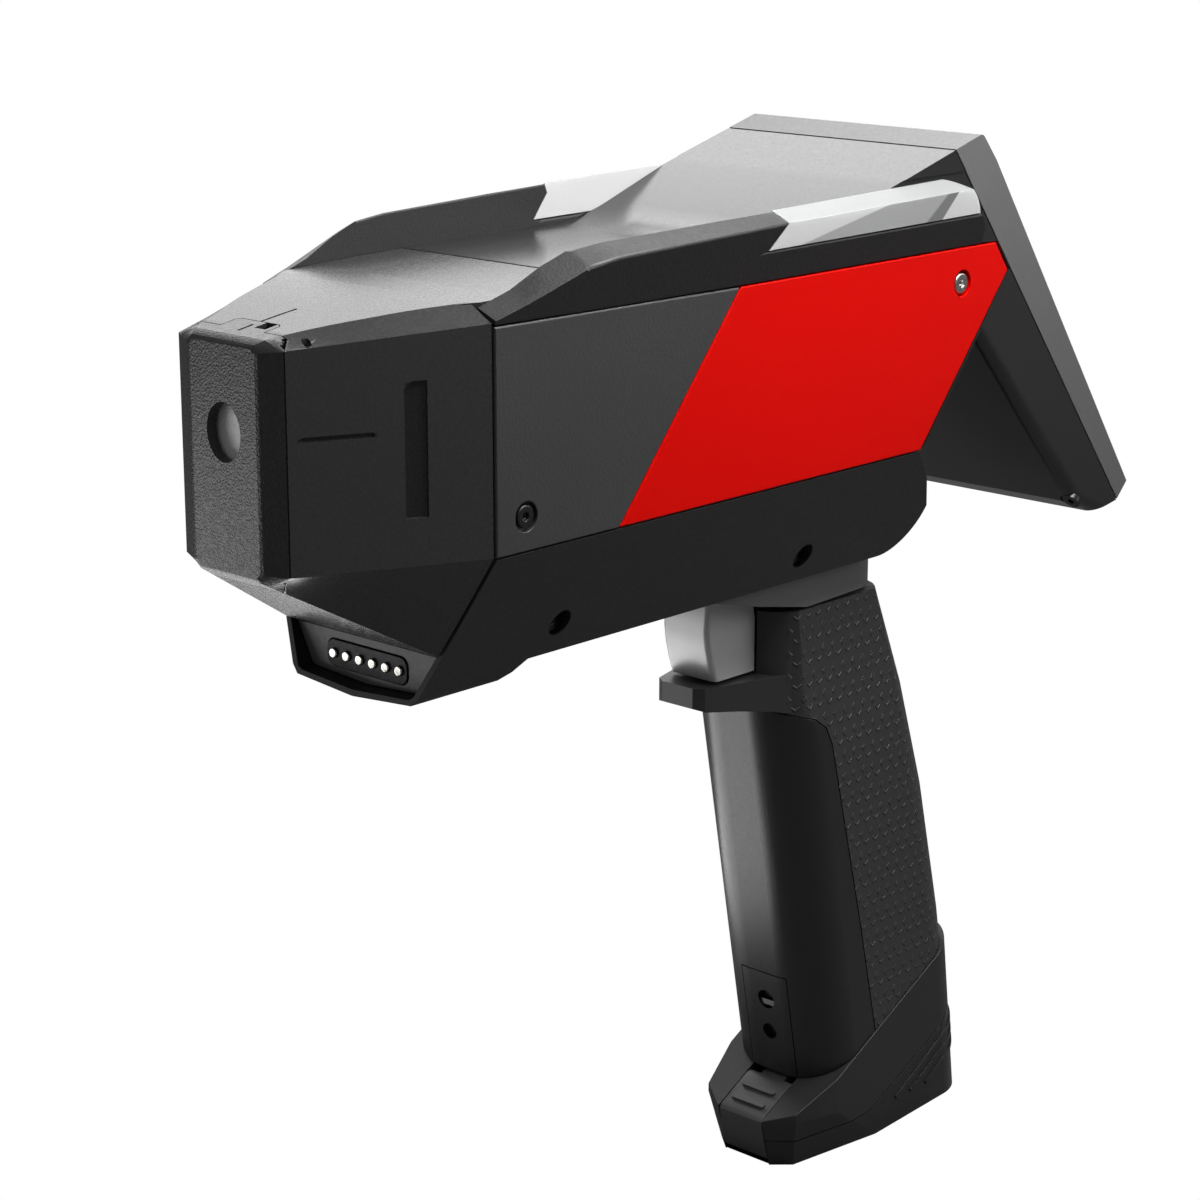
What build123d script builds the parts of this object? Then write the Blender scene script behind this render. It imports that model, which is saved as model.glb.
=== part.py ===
from build123d import *
from math import cos, radians, sin
import os

# Handheld X-ray fluorescence analyzer, pistol shaped. Millimetres.
# X runs from the measuring nose to the rear, Y across, Z up.
# The origin is the centre of the measuring window in the front face.
# Left is the operator's left, at negative Y.

# Nose
NOSE_END = 47.4  # side seam between nose and body
NOSE_SIDE = 17.0  # half width of the nose sides, carried forward to the face
NOSE_FLARE = 0.475  # growth of that half width per millimetre
NOSE_CREASE = -31.8  # height where the sides turn in below
CAP_DEPTH = 2.8  # depth of the front cap on the sides
WINDOW_Y = 5.9  # half width of the measuring opening
WINDOW_Z = 7.1  # half height of the measuring opening
BEAM_DIP = radians(22)  # the tube looks up at the window by this angle
SIGHT_RISE = radians(30)  # the detector looks down at it by this one

# Body
BODY_START = 47.8
PANEL_FACE = 40.2  # half width over the side panels
PANEL_THICK = 2.5
PANEL_TOP = 22.05
PANEL_FLOOR = -31.9
COVER_TOP = 28.6  # flat of the top cover between the rails
COVER_START = 91.8
GAP = 0.3  # visible seam between mouldings

# Lower housing
LOWER_TOP = -32.2
LOWER_SLANT = 0.496  # inward run of its sides per millimetre of depth
LOWER_FLOOR = -65.0

# Display slab: its seam plane leans back, the screen a little less
SEAM_TOP = (222.9, 48.5)
SEAM_LOW = (308.9, -62.4)
BEZEL_TOP = (235.5, 52.1)
SCREEN_TOP = (242.3, 44.2)
SCREEN_LOW = (314.1, -57.4)
SLAB_HALF = 40.1
GLASS = (72.0, 107.0)
GLASS_RISE = 5.5
BUTTON_DROP = -55.4  # power button, below the middle of the screen face
BUTTON_R = 4.2

# Grip and foot
GRIP_LEAN = 0.185  # forward lean of the grip, run per millimetre
SKIN = 2.4  # thickness of the outer grip layer over its frame
FOOT_SLOPE = 0.528
BATTERY = (39.0, 31.0, 10.0)  # depth, width, corner radius
BATTERY_TOP = -13.0  # along the grip axis from its reference point
TRIGGER_PIN = (171.0, -58.0)
TRIGGER_HALF = 8.25
SHELF_TOP = -94.9
LATCH_PIN = (193.4, -241.6)
LATCH_HALF = 8.0

# Fasteners, M3
SHANK_R = 1.5
THREAD_FLATS = 12
HEAD_R = 2.85
PIN_PITCH = 4.68

os.makedirs("parts", exist_ok=True)


def save(name, builder):
    builder.part.label = name
    export_step(builder.part, f"parts/{name}.step")


def across(points, low_y, high_y):
    """A side profile of (x, z) points carried across from low_y to high_y."""
    with BuildPart() as body:
        with BuildSketch(Plane.XZ.offset(-low_y)):
            with BuildLine():
                Polyline(*points, close=True)
            make_face()
        extrude(amount=low_y - high_y)
    return body.part


def upward(points, low_z, high_z):
    """A plan outline of (x, y) points carried from low_z to high_z."""
    with BuildPart() as body:
        with BuildSketch(Plane.XY.offset(low_z)):
            with BuildLine():
                Polyline(*points, close=True)
            make_face()
        extrude(amount=high_z - low_z)
    return body.part


def rearward(points, low_x, high_x):
    """A cross-section of (y, z) points carried from low_x to high_x."""
    with BuildPart() as body:
        with BuildSketch(Plane.YZ.offset(low_x)):
            with BuildLine():
                Polyline(*points, close=True)
            make_face()
        extrude(amount=high_x - low_x)
    return body.part


def both(points):
    """A half outline closed with its mirror image in Y."""
    return [*points, *[(x, -y) for x, y in reversed(points)]]


def both_yz(points):
    return [*points, *[(-y, z) for y, z in reversed(points)]]


def block(low, high):
    """A box between two corners."""
    return upward([(low[0], low[1]), (high[0], low[1]), (high[0], high[1]), (low[0], high[1])],
                  low[2], high[2])


def drill(spots, radius, depth, side):
    """Holes square to the middle plane: spots are (x, z, y of the mouth)."""
    with BuildPart() as holes:
        for x, z, y in spots:
            with BuildSketch(Plane(origin=(x, side * y, z), z_dir=(0, side, 0))):
                Circle(radius)
            extrude(amount=-depth)
    return holes.part


def tapped(face, depth):
    """The hole for a screw's thread below a plane; threads have twelve plain flats."""
    with BuildPart() as hole:
        with BuildSketch(face):
            RegularPolygon(SHANK_R + 0.02, THREAD_FLATS)
        extrude(amount=-depth)
    return hole.part


def other_side(name, part):
    with BuildPart() as twin:
        add(part.mirror(Plane.XZ))
    save(name, twin)


def screw(face, length):
    """A button-head screw seated on a plane, its shank running in below it."""
    with BuildPart() as made:
        with BuildSketch(face):
            Circle(HEAD_R)
        extrude(amount=1.5)
        with BuildSketch(face):
            RegularPolygon(SHANK_R, THREAD_FLATS)
        extrude(amount=-length)
        with BuildSketch(face.offset(0.5)):
            RegularPolygon(1.15, 6)
        extrude(amount=1.5, mode=Mode.SUBTRACT)
    return made.part


def foot_plane(x):
    """Height of the sloping top of the foot."""
    return -225.4 + FOOT_SLOPE * (x - 198.8)


# ---------------------------------------------------------------- nose
def nose_outline(x):
    """Cross-section of the nose at x, its slanted corners carried on past top and bottom."""
    side = NOSE_SIDE + NOSE_FLARE * x
    side_top = 20.4 + 0.0715 * x
    top_half = 11.0 + 0.45 * x
    top = 22.0 + 0.19 * x - 0.00138 * x * x
    low_half = 10.3 + 0.408 * x
    low = -33.6 - 0.57 * x
    if x == 0.0:
        side, side_top, top_half, top = 11.8, 19.6, 10.4, 21.2
    return both_yz([
        (top_half + 0.3 * (top_half - side), top + 0.3 * (top - side_top)),
        (side, side_top),
        (side, NOSE_CREASE),
        (low_half + 0.2 * (low_half - side), low + 0.2 * (low - NOSE_CREASE)),
    ])


with BuildPart() as nose_form:
    for station in (0.0, CAP_DEPTH, 25.0, NOSE_END):
        with BuildSketch(Plane.YZ.offset(station)):
            with BuildLine():
                Polyline(*nose_outline(station), close=True)
            make_face()
    loft(ruled=True)
    with BuildSketch(Plane.XZ):
        with BuildLine():
            Line((0, -33.6), (0, 21.2))
            Line((0, 21.2), (CAP_DEPTH, 22.52))
            ThreePointArc((CAP_DEPTH, 22.52), (25.0, 25.9), (NOSE_END, 27.9))
            Polyline((NOSE_END, 27.9), (NOSE_END, -60.62), (0, -33.6))
        make_face()
    extrude(amount=45, both=True, mode=Mode.INTERSECT)
    chamfer(nose_form.faces().sort_by(Axis.X)[0].edges(), length=0.7)

# hollow of the nose: its plan, cut to its side profile and to the slanted corners
CORE_SIDE = [(6.6, 20.0), (25.0, 22.6), (48.4, 24.6), (48.4, -57.8), (6.6, -34.0)]
with BuildPart() as nose_core:
    add(upward(both([(6.6, 16.6), (48.4, 36.6)]), -60, 26))
    add(across(CORE_SIDE, -40, 40), mode=Mode.INTERSECT)
    for side in (-1, 1):
        upper = Plane(origin=(6.6, side * 16.6, 18.4), x_dir=(41.8, side * 20.0, 3.0),
                      z_dir=(-0.2, side * 0.5, 0.86))
        lower = Plane(origin=(6.6, side * 16.6, -31.0), x_dir=(41.8, side * 20.0, 0),
                      z_dir=(-0.36, side * 0.75, -0.55))
        split(bisect_by=upper, keep=Keep.BOTTOM)
        split(bisect_by=lower, keep=Keep.BOTTOM)

# The cap reaches back further over the top and bottom edges, with a tab on top.
CAP_PROFILE = [(-1, -45), (5.9, -45), (5.9, -37.0), (CAP_DEPTH, -32.0),
               (CAP_DEPTH, 20.5), (6.3, 22.4), (6.3, 30), (-1, 30)]
with BuildPart() as cap_fill:
    add(across(CAP_PROFILE, -30, 30))
    add(upward(both([(4, 7.5), (11.0, 7.5), (12.0, 6.5)]), 20.6, 30))
with BuildPart() as cap_clear:
    add(across([(x + GAP if x > 0 else x, z) for x, z in CAP_PROFILE], -30, 30))
    add(upward(both([(4, 7.8), (11.1, 7.8), (12.3, 6.6)]), 20.3, 30))
SIGHT_CUT = [(5.2, 22.7), (9.8, 23.3), (9.8, 27), (5.2, 27)]

with BuildPart() as front_cap:
    add(nose_form.part)
    add(cap_fill.part, mode=Mode.INTERSECT)
    with BuildSketch(Plane.YZ.offset(-1)):
        Ellipse(WINDOW_Y, WINDOW_Z)
    extrude(amount=12, mode=Mode.SUBTRACT)
    # sighting groove on the tab, pry pocket beside it, drain notch below
    add(across(SIGHT_CUT, -0.45, 0.45), mode=Mode.SUBTRACT)
    add(block((8.2, -6.0, 22.0), (13.0, -2.2, 30)), mode=Mode.SUBTRACT)
    add(block((5.0, -7.2, -45), (7, -4.4, -34)), mode=Mode.SUBTRACT)
save("front_cap", front_cap)

TONGUE = [(44.0, 24.4), (44.0, 27.6), (NOSE_END, 27.88), (60.0, 28.25),
          (COVER_START - 0.35, COVER_TOP), (COVER_START - 0.35, 25.1)]
TONGUE_PLAN = both([(44, 31.0), (49.0, 34.2), (57.5, 34.9), (67, 35.6),
                    (76, 36.3), (COVER_START, 37.0)])
with BuildPart() as nose_tongue:
    add(across(TONGUE, -38, 38))
    add(upward(TONGUE_PLAN, 20, 30), mode=Mode.INTERSECT)

NOSE_BACK = [(NOSE_END, -31.8), (40.7, -57.5), (37.1, -71.0), (80, -71), (80, -31.8)]
with BuildPart() as nose_housing:
    add(nose_form.part)
    add(cap_clear.part, mode=Mode.SUBTRACT)
    add(nose_core.part, mode=Mode.SUBTRACT)
    add(nose_tongue.part)
    add(across(NOSE_BACK, -50, 50), mode=Mode.SUBTRACT)
    # seat of the window ring and film behind the cap
    with BuildSketch(Plane.YZ.offset(2)):
        Circle(8.8)
    extrude(amount=8, mode=Mode.SUBTRACT)
    # sighting groove along the top
    add(across([(12.3, 23.4), (23.2, 25.0), (23.2, 28), (12.3, 28)], -0.45, 0.45),
        mode=Mode.SUBTRACT)
    # side grooves level with the window, and the shallow finger recesses
    for side in (-1, 1):
        flank = Plane(origin=(0, side * NOSE_SIDE, 0), x_dir=(1, side * NOSE_FLARE, 0),
                      z_dir=(-NOSE_FLARE, side, 0))
        up = -side  # the local vertical points down on the right flank
        reach = (1 + NOSE_FLARE**2) ** 0.5
        with BuildSketch(flank):
            with Locations((13.8 * reach, 0)):
                SlotOverall(17.6, 1.3)
        extrude(amount=-0.6, mode=Mode.SUBTRACT)
        with BuildSketch(flank):
            with BuildLine():
                Polyline((28.2 * reach, 10.0 * up), (30.0 * reach, 11.8 * up),
                         (33.2 * reach, 11.8 * up), (33.2 * reach, -20.4 * up),
                         (28.2 * reach, -20.4 * up), close=True)
            make_face()
        extrude(amount=-0.7, mode=Mode.SUBTRACT)
        with BuildSketch(flank):
            with Locations((8.2 * reach, 21.9 * up)):
                Circle(1.0)
        extrude(amount=-3.5, mode=Mode.SUBTRACT)
save("nose_housing", nose_housing)

with BuildPart() as window_film:
    with BuildSketch(Plane.YZ.offset(3.7)):
        Circle(8.8)
    extrude(amount=0.2)
save("window_film", window_film)

with BuildPart() as window_ring:
    with BuildSketch(Plane.YZ.offset(3.9)):
        Circle(8.8)
        Ellipse(WINDOW_Y + 0.6, WINDOW_Z + 0.6, mode=Mode.SUBTRACT)
    extrude(amount=1.8)
save("window_ring", window_ring)

# ---------------------------------------------------------------- measuring parts in the nose
beam = Plane(origin=(0, 0, 0), x_dir=(0, 1, 0), z_dir=(cos(BEAM_DIP), 0, -sin(BEAM_DIP)))
sight = Plane(origin=(0, 0, 0), x_dir=(0, 1, 0), z_dir=(cos(SIGHT_RISE), 0, sin(SIGHT_RISE)))
WHEEL_AT = 18.0  # along the beam
WHEEL_ARM = 9.0  # wheel centre below the beam


def rod(plane, start, end, radius, spot=(0, 0)):
    with BuildPart() as made:
        with BuildSketch(plane.offset(start)):
            with Locations(spot):
                Circle(radius)
        extrude(amount=end - start)
    return made.part


with BuildPart() as xray_tube:
    add(rod(beam, 21.5, 45, 4.4))
    add(rod(beam, 45, 66, 8.5))
    add(rod(beam, 15, 26, 1.2), mode=Mode.SUBTRACT)
save("xray_tube", xray_tube)

with BuildPart() as filter_wheel:
    add(rod(beam, WHEEL_AT - 0.7, WHEEL_AT + 0.7, 12.4, (0, -WHEEL_ARM)))
    with BuildSketch(beam.offset(WHEEL_AT - 1)):
        with Locations((0, -WHEEL_ARM)):
            with PolarLocations(WHEEL_ARM, 6, start_angle=90):
                RegularPolygon(2.5, 8)
    extrude(amount=2, mode=Mode.SUBTRACT)
    add(rod(beam, WHEEL_AT - 1, WHEEL_AT + 1, 1.0, (0, -WHEEL_ARM)), mode=Mode.SUBTRACT)
save("filter_wheel", filter_wheel)

with BuildPart() as wheel_motor:
    add(rod(beam, 20.4, 40, 4.0, (0, -WHEEL_ARM)))
    add(rod(beam, 16.9, 20.4, 0.95, (0, -WHEEL_ARM)))
save("wheel_motor", wheel_motor)

with BuildPart() as detector:
    add(rod(sight, 11, 16, 2.6))
    add(rod(sight, 16, 23, 7.4))
    add(rod(sight, 23, 24.4, 8.4))
    add(rod(sight, 10, 17, 1.3), mode=Mode.SUBTRACT)
save("detector", detector)

with BuildPart() as detector_cooler:
    with BuildSketch(sight.offset(24.4)):
        Rectangle(17, 11)
    extrude(amount=8)
    with BuildSketch(sight.offset(26)):
        with Locations((-7, 0), (-3.5, 0), (0, 0), (3.5, 0), (7, 0)):
            Rectangle(1.6, 11)
    extrude(amount=8, mode=Mode.SUBTRACT)
save("detector_cooler", detector_cooler)

view = Plane(origin=(0, 0, -0.5), z_dir=(cos(radians(36)), sin(radians(36)), 0))
with BuildPart() as sample_camera:
    add(rod(view, 15.5, 19, 2.2))
    add(rod(view, 19, 26, 3.2))
save("sample_camera", sample_camera)

# ---------------------------------------------------------------- lower housing
def lower_half(z):
    return PANEL_FACE - LOWER_SLANT * (LOWER_TOP - z)


LOWER_SECTION = both_yz([(PANEL_FACE, LOWER_TOP), (lower_half(-67.8), -67.8),
                         (20.4, -69.8), (0.5, -71.3)])
LOWER_SCREWS = [(81.5, -56.4, 28.2), (176.5, -57.2, 27.8)]
HOOD = both_yz([(27.0, -50), (26.2, -57), (20.6, -67.9), (19.0, -68.6), (0.5, -69.8)])
INNER = both_yz([(37.4, -30), (21.6, -62.3)])

with BuildPart() as lower_housing:
    with BuildSketch(Plane.XZ):
        with BuildLine():
            Polyline((210.5, LOWER_TOP), (BODY_START, LOWER_TOP), (37.3, -72.2), (65.5, -72.2),
                     (66.5, -70.4), (74.5, LOWER_FLOOR), (214.0, LOWER_FLOOR))
            RadiusArc((214.0, LOWER_FLOOR), (227.5, -51.5), -13.5)
            Polyline((227.5, -51.5), (221.0, -42.0), (210.5, LOWER_TOP))
        make_face()
    extrude(amount=45, both=True)
    add(rearward(LOWER_SECTION, 36, 234), mode=Mode.INTERSECT)
    add(rearward(HOOD, 30, 46), mode=Mode.SUBTRACT)
    add(rearward(INNER, 46, 206), mode=Mode.SUBTRACT)
    # passage for the trigger and its bearing ears, and for the grip wiring
    add(block((152.5, -12.8, -66), (184.0, 12.8, -60)), mode=Mode.SUBTRACT)
    add(block((192.0, -8, -66), (202.0, 8, -60)), mode=Mode.SUBTRACT)
    for side in (-1, 1):
        add(drill([(x, z, y + 8) for x, z, y in LOWER_SCREWS], 3.5, 12.6, side),
            mode=Mode.SUBTRACT)
    # cooling slots in the tail, under the display
    for height in (-44, -49, -54):
        add(block((218, -14, height), (235, 14, height + 1.6)), mode=Mode.SUBTRACT)
save("lower_housing", lower_housing)

with BuildPart() as contact_plate:
    add(rearward(both_yz([(25.5, -57.9), (20.4, -67.8), (18.9, -68.4), (0.5, -69.6)]), 43, 46))
    with BuildSketch(Plane.YZ.offset(42)):
        with Locations((0, -63.7)):
            RectangleRounded(28.9, 7.3, 2.6)
    extrude(amount=1.8, mode=Mode.SUBTRACT)
save("contact_plate", contact_plate)

PIN_SPOTS = [((i - 2.5) * PIN_PITCH, -63.7) for i in range(6)]
with BuildPart() as contact_block:
    with BuildSketch(Plane.YZ.offset(42.6)):
        with Locations((0, -63.7)):
            RectangleRounded(28.5, 6.9, 2.5)
    extrude(amount=1.2)
save("contact_block", contact_block)

with BuildPart() as contact_pins:
    with BuildSketch(Plane.YZ.offset(42.6)):
        with Locations(*PIN_SPOTS):
            RegularPolygon(1.35, 16)
    extrude(amount=-0.7)
save("contact_pins", contact_pins)

# ---------------------------------------------------------------- rails and light guides
# x, ridge height, inner half width, shoulder half width, shoulder height, foot height
RAIL_STATIONS = (
    (BODY_START, 26.9, 34.6, 40.6, 24.4, 23.5),
    (57.5, 29.9, 35.3, 41.8, 27.4, 23.3),
    (67.0, 34.4, 36.0, 42.9, 30.7, 23.2),
    (76.0, 37.5, 36.7, 43.8, 33.9, 23.0),
    (86.0, 38.5, 37.2, 44.3, 35.3, 22.9),
    (146.0, 39.9, 39.7, 44.7, 37.1, 22.4),
    (236.0, 41.6, 40.15, 45.1, 38.5, 22.2),
)
with BuildPart() as rail_form:
    for x, ridge, inner, shoulder, drop, foot in RAIL_STATIONS:
        with BuildSketch(Plane.YZ.offset(x)):
            with BuildLine():
                Polyline((-inner, ridge), (-shoulder, drop), (-PANEL_FACE, foot),
                         (-inner, foot), close=True)
            make_face()
    loft(ruled=True)

with BuildPart() as guide_zone:
    with BuildSketch(Plane.XZ):
        with BuildLine():
            Polyline((142.6, 30.5), (148.0, 37.1), (146.7, 40.2), (146.7, 45.0), (214.0, 45.0),
                     (214.0, 41.5))
            ThreePointArc((214.0, 41.5), (225.4, 38.0), (231.5, 31.1))
            Line((231.5, 31.1), (142.6, 30.5))
        make_face()
    extrude(amount=60)
GUIDE_ROOM = [(142.2, 30.3), (147.7, 37.1), (146.4, 40.2), (146.4, 45.0), (250.0, 45.0),
              (250.0, 30.9)]
RAIL_END = [(241.0, 20.0), (232.5, 30.9), (225.0, 39.0), (225.0, 60), (260, 60), (260, 20)]

with BuildPart() as light_guide_left:
    add(rail_form.part)
    add(guide_zone.part, mode=Mode.INTERSECT)
    # channel for the lamp strip, open below
    add(across([(151, 29), (206, 29), (206, 34.4), (151, 34.4)], -42.6, -41.2),
        mode=Mode.SUBTRACT)
save("light_guide_left", light_guide_left)
other_side("light_guide_right", light_guide_left.part)

with BuildPart() as rail_left:
    add(rail_form.part)
    add(across(GUIDE_ROOM, -60, 0), mode=Mode.SUBTRACT)
    add(across(RAIL_END, -60, 0), mode=Mode.SUBTRACT)
save("rail_left", rail_left)
other_side("rail_right", rail_left.part)

with BuildPart() as lamp_strip_left:
    add(across([(153, 31.0), (205, 31.2), (205, 32.4), (153, 32.4)], -42.5, -41.3))
save("lamp_strip_left", lamp_strip_left)
other_side("lamp_strip_right", lamp_strip_left.part)

# ---------------------------------------------------------------- side panels and chassis
GREY_PANEL = [(BODY_START, 23.0), (134.7, PANEL_TOP), (90.1, PANEL_FLOOR),
              (BODY_START, PANEL_FLOOR)]
RED_PANEL = [(135.1, PANEL_TOP), (243.0, PANEL_TOP - 0.3), (249.2, 13.4),
             (211.2, PANEL_FLOOR), (90.5, PANEL_FLOOR)]
PANEL_IN = PANEL_FACE - PANEL_THICK
SIDE_SCREW = (57.8, -23.4)
RED_SCREW = (228.0, 12.0)
PANEL_SEAT = 1.7  # depth of the counterbores


def panel(points, spot):
    with BuildPart() as made:
        with BuildSketch(Plane.XZ.offset(PANEL_IN)):
            with BuildLine():
                Polyline(*points, close=True)
            make_face()
        extrude(amount=PANEL_THICK)
        chamfer(made.faces().sort_by(Axis.Y)[0].edges(), length=0.35)
        add(drill([(*spot, PANEL_FACE)], 3.7, PANEL_SEAT, -1), mode=Mode.SUBTRACT)
        add(tapped(Plane(origin=(spot[0], -PANEL_FACE, spot[1]), z_dir=(0, -1, 0)), 9),
            mode=Mode.SUBTRACT)
    return made


side_panel_left = panel(GREY_PANEL, SIDE_SCREW)
save("side_panel_left", side_panel_left)
other_side("side_panel_right", side_panel_left.part)
accent_panel_left = panel(RED_PANEL, RED_SCREW)
save("accent_panel_left", accent_panel_left)
other_side("accent_panel_right", accent_panel_left.part)

with BuildPart() as chassis:
    # sheet sides joined by a floor and two bulkheads
    for side in (-1, 1):
        low, high = sorted((side * 35.7, side * PANEL_IN))
        add(block((50.0, low, -31.9), (206.0, high, 21.5)))
    add(block((50.0, -35.7, -31.9), (206.0, 35.7, -30.3)))
    add(block((50.0, -35.7, -30.3), (51.6, 35.7, 20.0)))
    add(block((150.0, -35.7, -30.3), (151.6, 35.7, -4.0)))
    # openings for the tube, the cooled detector's cables and the battery leads
    add(block((49, -14, -29), (53, 14, 1)), mode=Mode.SUBTRACT)
    add(block((49, -30, 4), (53, 30, 16)), mode=Mode.SUBTRACT)
    add(block((149, -14, -26), (153, 14, -10)), mode=Mode.SUBTRACT)
    add(block((160, -20, -33), (198, 20, -29)), mode=Mode.SUBTRACT)
    add(block((49, -14, -33), (74, 14, -29)), mode=Mode.SUBTRACT)
    for side in (-1, 1):
        add(tapped(Plane(origin=(SIDE_SCREW[0], side * PANEL_FACE, SIDE_SCREW[1]),
                         z_dir=(0, side, 0)), 9), mode=Mode.SUBTRACT)
save("chassis", chassis)

with BuildPart() as tube_supply:
    add(block((86.0, -24, -28.0), (140.0, 24, -2.0)))
    fillet(tube_supply.edges().filter_by(Axis.X), radius=3)
    for x in (98, 110, 122):
        add(block((x, -18, -2.0), (x + 4, 18, -0.6)))
save("tube_supply", tube_supply)

with BuildPart() as main_board:
    add(block((56.0, -34, 4.0), (200.0, 34, 5.6)))
    for x, y, w, d, h in ((70, -8, 24, 24, 2.0), (104, 6, 18, 14, 1.4), (104, -24, 14, 12, 3.0),
                          (132, -10, 22, 22, 2.2), (168, 10, 12, 18, 5.0), (168, -26, 20, 12, 1.2)):
        add(block((x, y, 5.6), (x + w, y + d, 5.6 + h)))
save("main_board", main_board)

with BuildPart() as heat_sink:
    add(block((126.0, -22, 11.0), (176.0, 22, 14.0)))
    for i in range(9):
        add(block((126.0, -21.2 + 5.1 * i, 14.0), (176.0, -19.6 + 5.1 * i, 24.5)))
save("heat_sink", heat_sink)

# ---------------------------------------------------------------- rear housing and display
with BuildPart() as rear_form:
    with BuildSketch(Plane.XZ):
        with BuildLine():
            Polyline((COVER_START, 23.5), (COVER_START, COVER_TOP), (148, COVER_TOP))
            TangentArc((148, COVER_TOP), (172, 32.8), tangent=(1, 0))
            Polyline((172, 32.8), (196, 41.1), SEAM_TOP, SEAM_LOW, (297.5, -64.3), (287.9, -60.0),
                     (270.8, -42.0), (236.2, -3.3), (212.4, PANEL_FLOOR),
                     (209.2, PANEL_FLOOR), (212.0, 23.5), (COVER_START, 23.5))
        make_face()
    extrude(amount=SLAB_HALF, both=True)
    fillet([e for e in rear_form.edges() if abs(e.center().Y) > 40 and 250 < e.center().X < 296
            and e.center().Z < -10 and e.center().X < 255 - (e.center().Z + 20) * 0.95],
           radius=3.5)

COVER_CAVITY = [(90, 20), (90, 26.0), (150, 26.0), (174, 30.2), (196, 38.3), (221.0, 45.3),
                (227, 45.3), (227, 39.0), (207, 20)]
TRAY_CAVITY = [(224.9, 44.9), (228, 44.9), (308, -58.8), (306.0, -58.8), (289.5, -57.4),
               (273.0, -40.6), (238.0, -1.2), (214.2, -28.0), (206.0, -28.0), (206.0, 24)]


def tray_screw(side):
    """Seat of a screw in the back of the display tray, in its solid bottom corner."""
    return Plane(origin=(287.8, side * 38, -59.93), x_dir=(0, 1, 0), z_dir=(-0.725, 0, -0.689))


with BuildPart() as rear_housing:
    add(rear_form.part)
    # room for the rails and for the red panels
    for side in (-1, 1):
        room = [(86, side * 37.05), (146, side * 39.55), (236, side * 39.95),
                (236, side * 50), (86, side * 50)]
        add(upward(room, 15, 42.5), mode=Mode.SUBTRACT)
        low, high = sorted((side * PANEL_IN, side * 50))
        add(across([(200, 23.4), (243.6, 22.0), (249.8, 13.5), (211.5, -33), (200, -33)],
                   low, high), mode=Mode.SUBTRACT)
    add(across(COVER_CAVITY, -35.2, 35.2), mode=Mode.SUBTRACT)
    add(across(TRAY_CAVITY, -35.2, 35.2), mode=Mode.SUBTRACT)
    for side in (-1, 1):
        add(tapped(Plane(origin=(RED_SCREW[0], side * PANEL_FACE, RED_SCREW[1]),
                         z_dir=(0, side, 0)), 5.2), mode=Mode.SUBTRACT)
        # counterbore and tapped hole for a screw from the back of the tray
        add(rod(tray_screw(side), -1.8, 3.0, 3.2), mode=Mode.SUBTRACT)
        add(tapped(tray_screw(side), 8.0), mode=Mode.SUBTRACT)
save("rear_housing", rear_housing)

slope = Plane(origin=((SCREEN_TOP[0] + SCREEN_LOW[0]) / 2, 0, (SCREEN_TOP[1] + SCREEN_LOW[1]) / 2),
              x_dir=(0, 1, 0), z_dir=(0.8167, 0, 0.5771))
BEZEL = [(223.3, 48.75), BEZEL_TOP, SCREEN_TOP, SCREEN_LOW, (309.3, -62.2)]
with BuildPart() as display_bezel:
    add(across(BEZEL, -SLAB_HALF, SLAB_HALF))
    fillet([e for e in display_bezel.edges().filter_by(Axis.Y)
            if e.center().X < 243 and e.center().Z > 43 and e.center().X > 230], radius=2.4)
    with BuildSketch(slope):
        with Locations((0, GLASS_RISE)):
            RectangleRounded(GLASS[0] + 0.4, GLASS[1] + 0.4, 3.2)
    extrude(amount=-1.7, mode=Mode.SUBTRACT)
    with BuildSketch(slope):
        with Locations((0, GLASS_RISE)):
            Rectangle(67, 101)
    extrude(amount=-20, mode=Mode.SUBTRACT)
    add(rod(slope, -12, 2, BUTTON_R + 0.2, (0, BUTTON_DROP)), mode=Mode.SUBTRACT)
    add(rod(slope, -12, -2.6, BUTTON_R + 1.5, (0, BUTTON_DROP)), mode=Mode.SUBTRACT)
save("display_bezel", display_bezel)

with BuildPart() as display_glass:
    with BuildSketch(slope.offset(-1.7)):
        with Locations((0, GLASS_RISE)):
            RectangleRounded(*GLASS, 3.0)
    extrude(amount=1.4)
save("display_glass", display_glass)

with BuildPart() as display_panel:
    with BuildSketch(slope.offset(-5.2)):
        with Locations((0, GLASS_RISE)):
            Rectangle(66, 100)
    extrude(amount=3.5)
save("display_panel", display_panel)

with BuildPart() as display_board:
    with BuildSketch(slope.offset(-14.5)):
        with Locations((0, GLASS_RISE)):
            Rectangle(60, 92)
    extrude(amount=1.6)
    with BuildSketch(slope.offset(-12.9)):
        with Locations((-16, 30), (12, 20), (-4, -20)):
            Rectangle(14, 14)
    extrude(amount=2.2)
save("display_board", display_board)

with BuildPart() as power_button:
    add(rod(slope, -3.8, 0.5, BUTTON_R, (0, BUTTON_DROP)))
    add(rod(slope, -3.8, -2.7, BUTTON_R + 1.1, (0, BUTTON_DROP)))
save("power_button", power_button)

with BuildPart() as power_switch:
    add(rod(slope, -6.4, -4.7, 2.6, (0, BUTTON_DROP)))
save("power_switch", power_switch)

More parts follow.
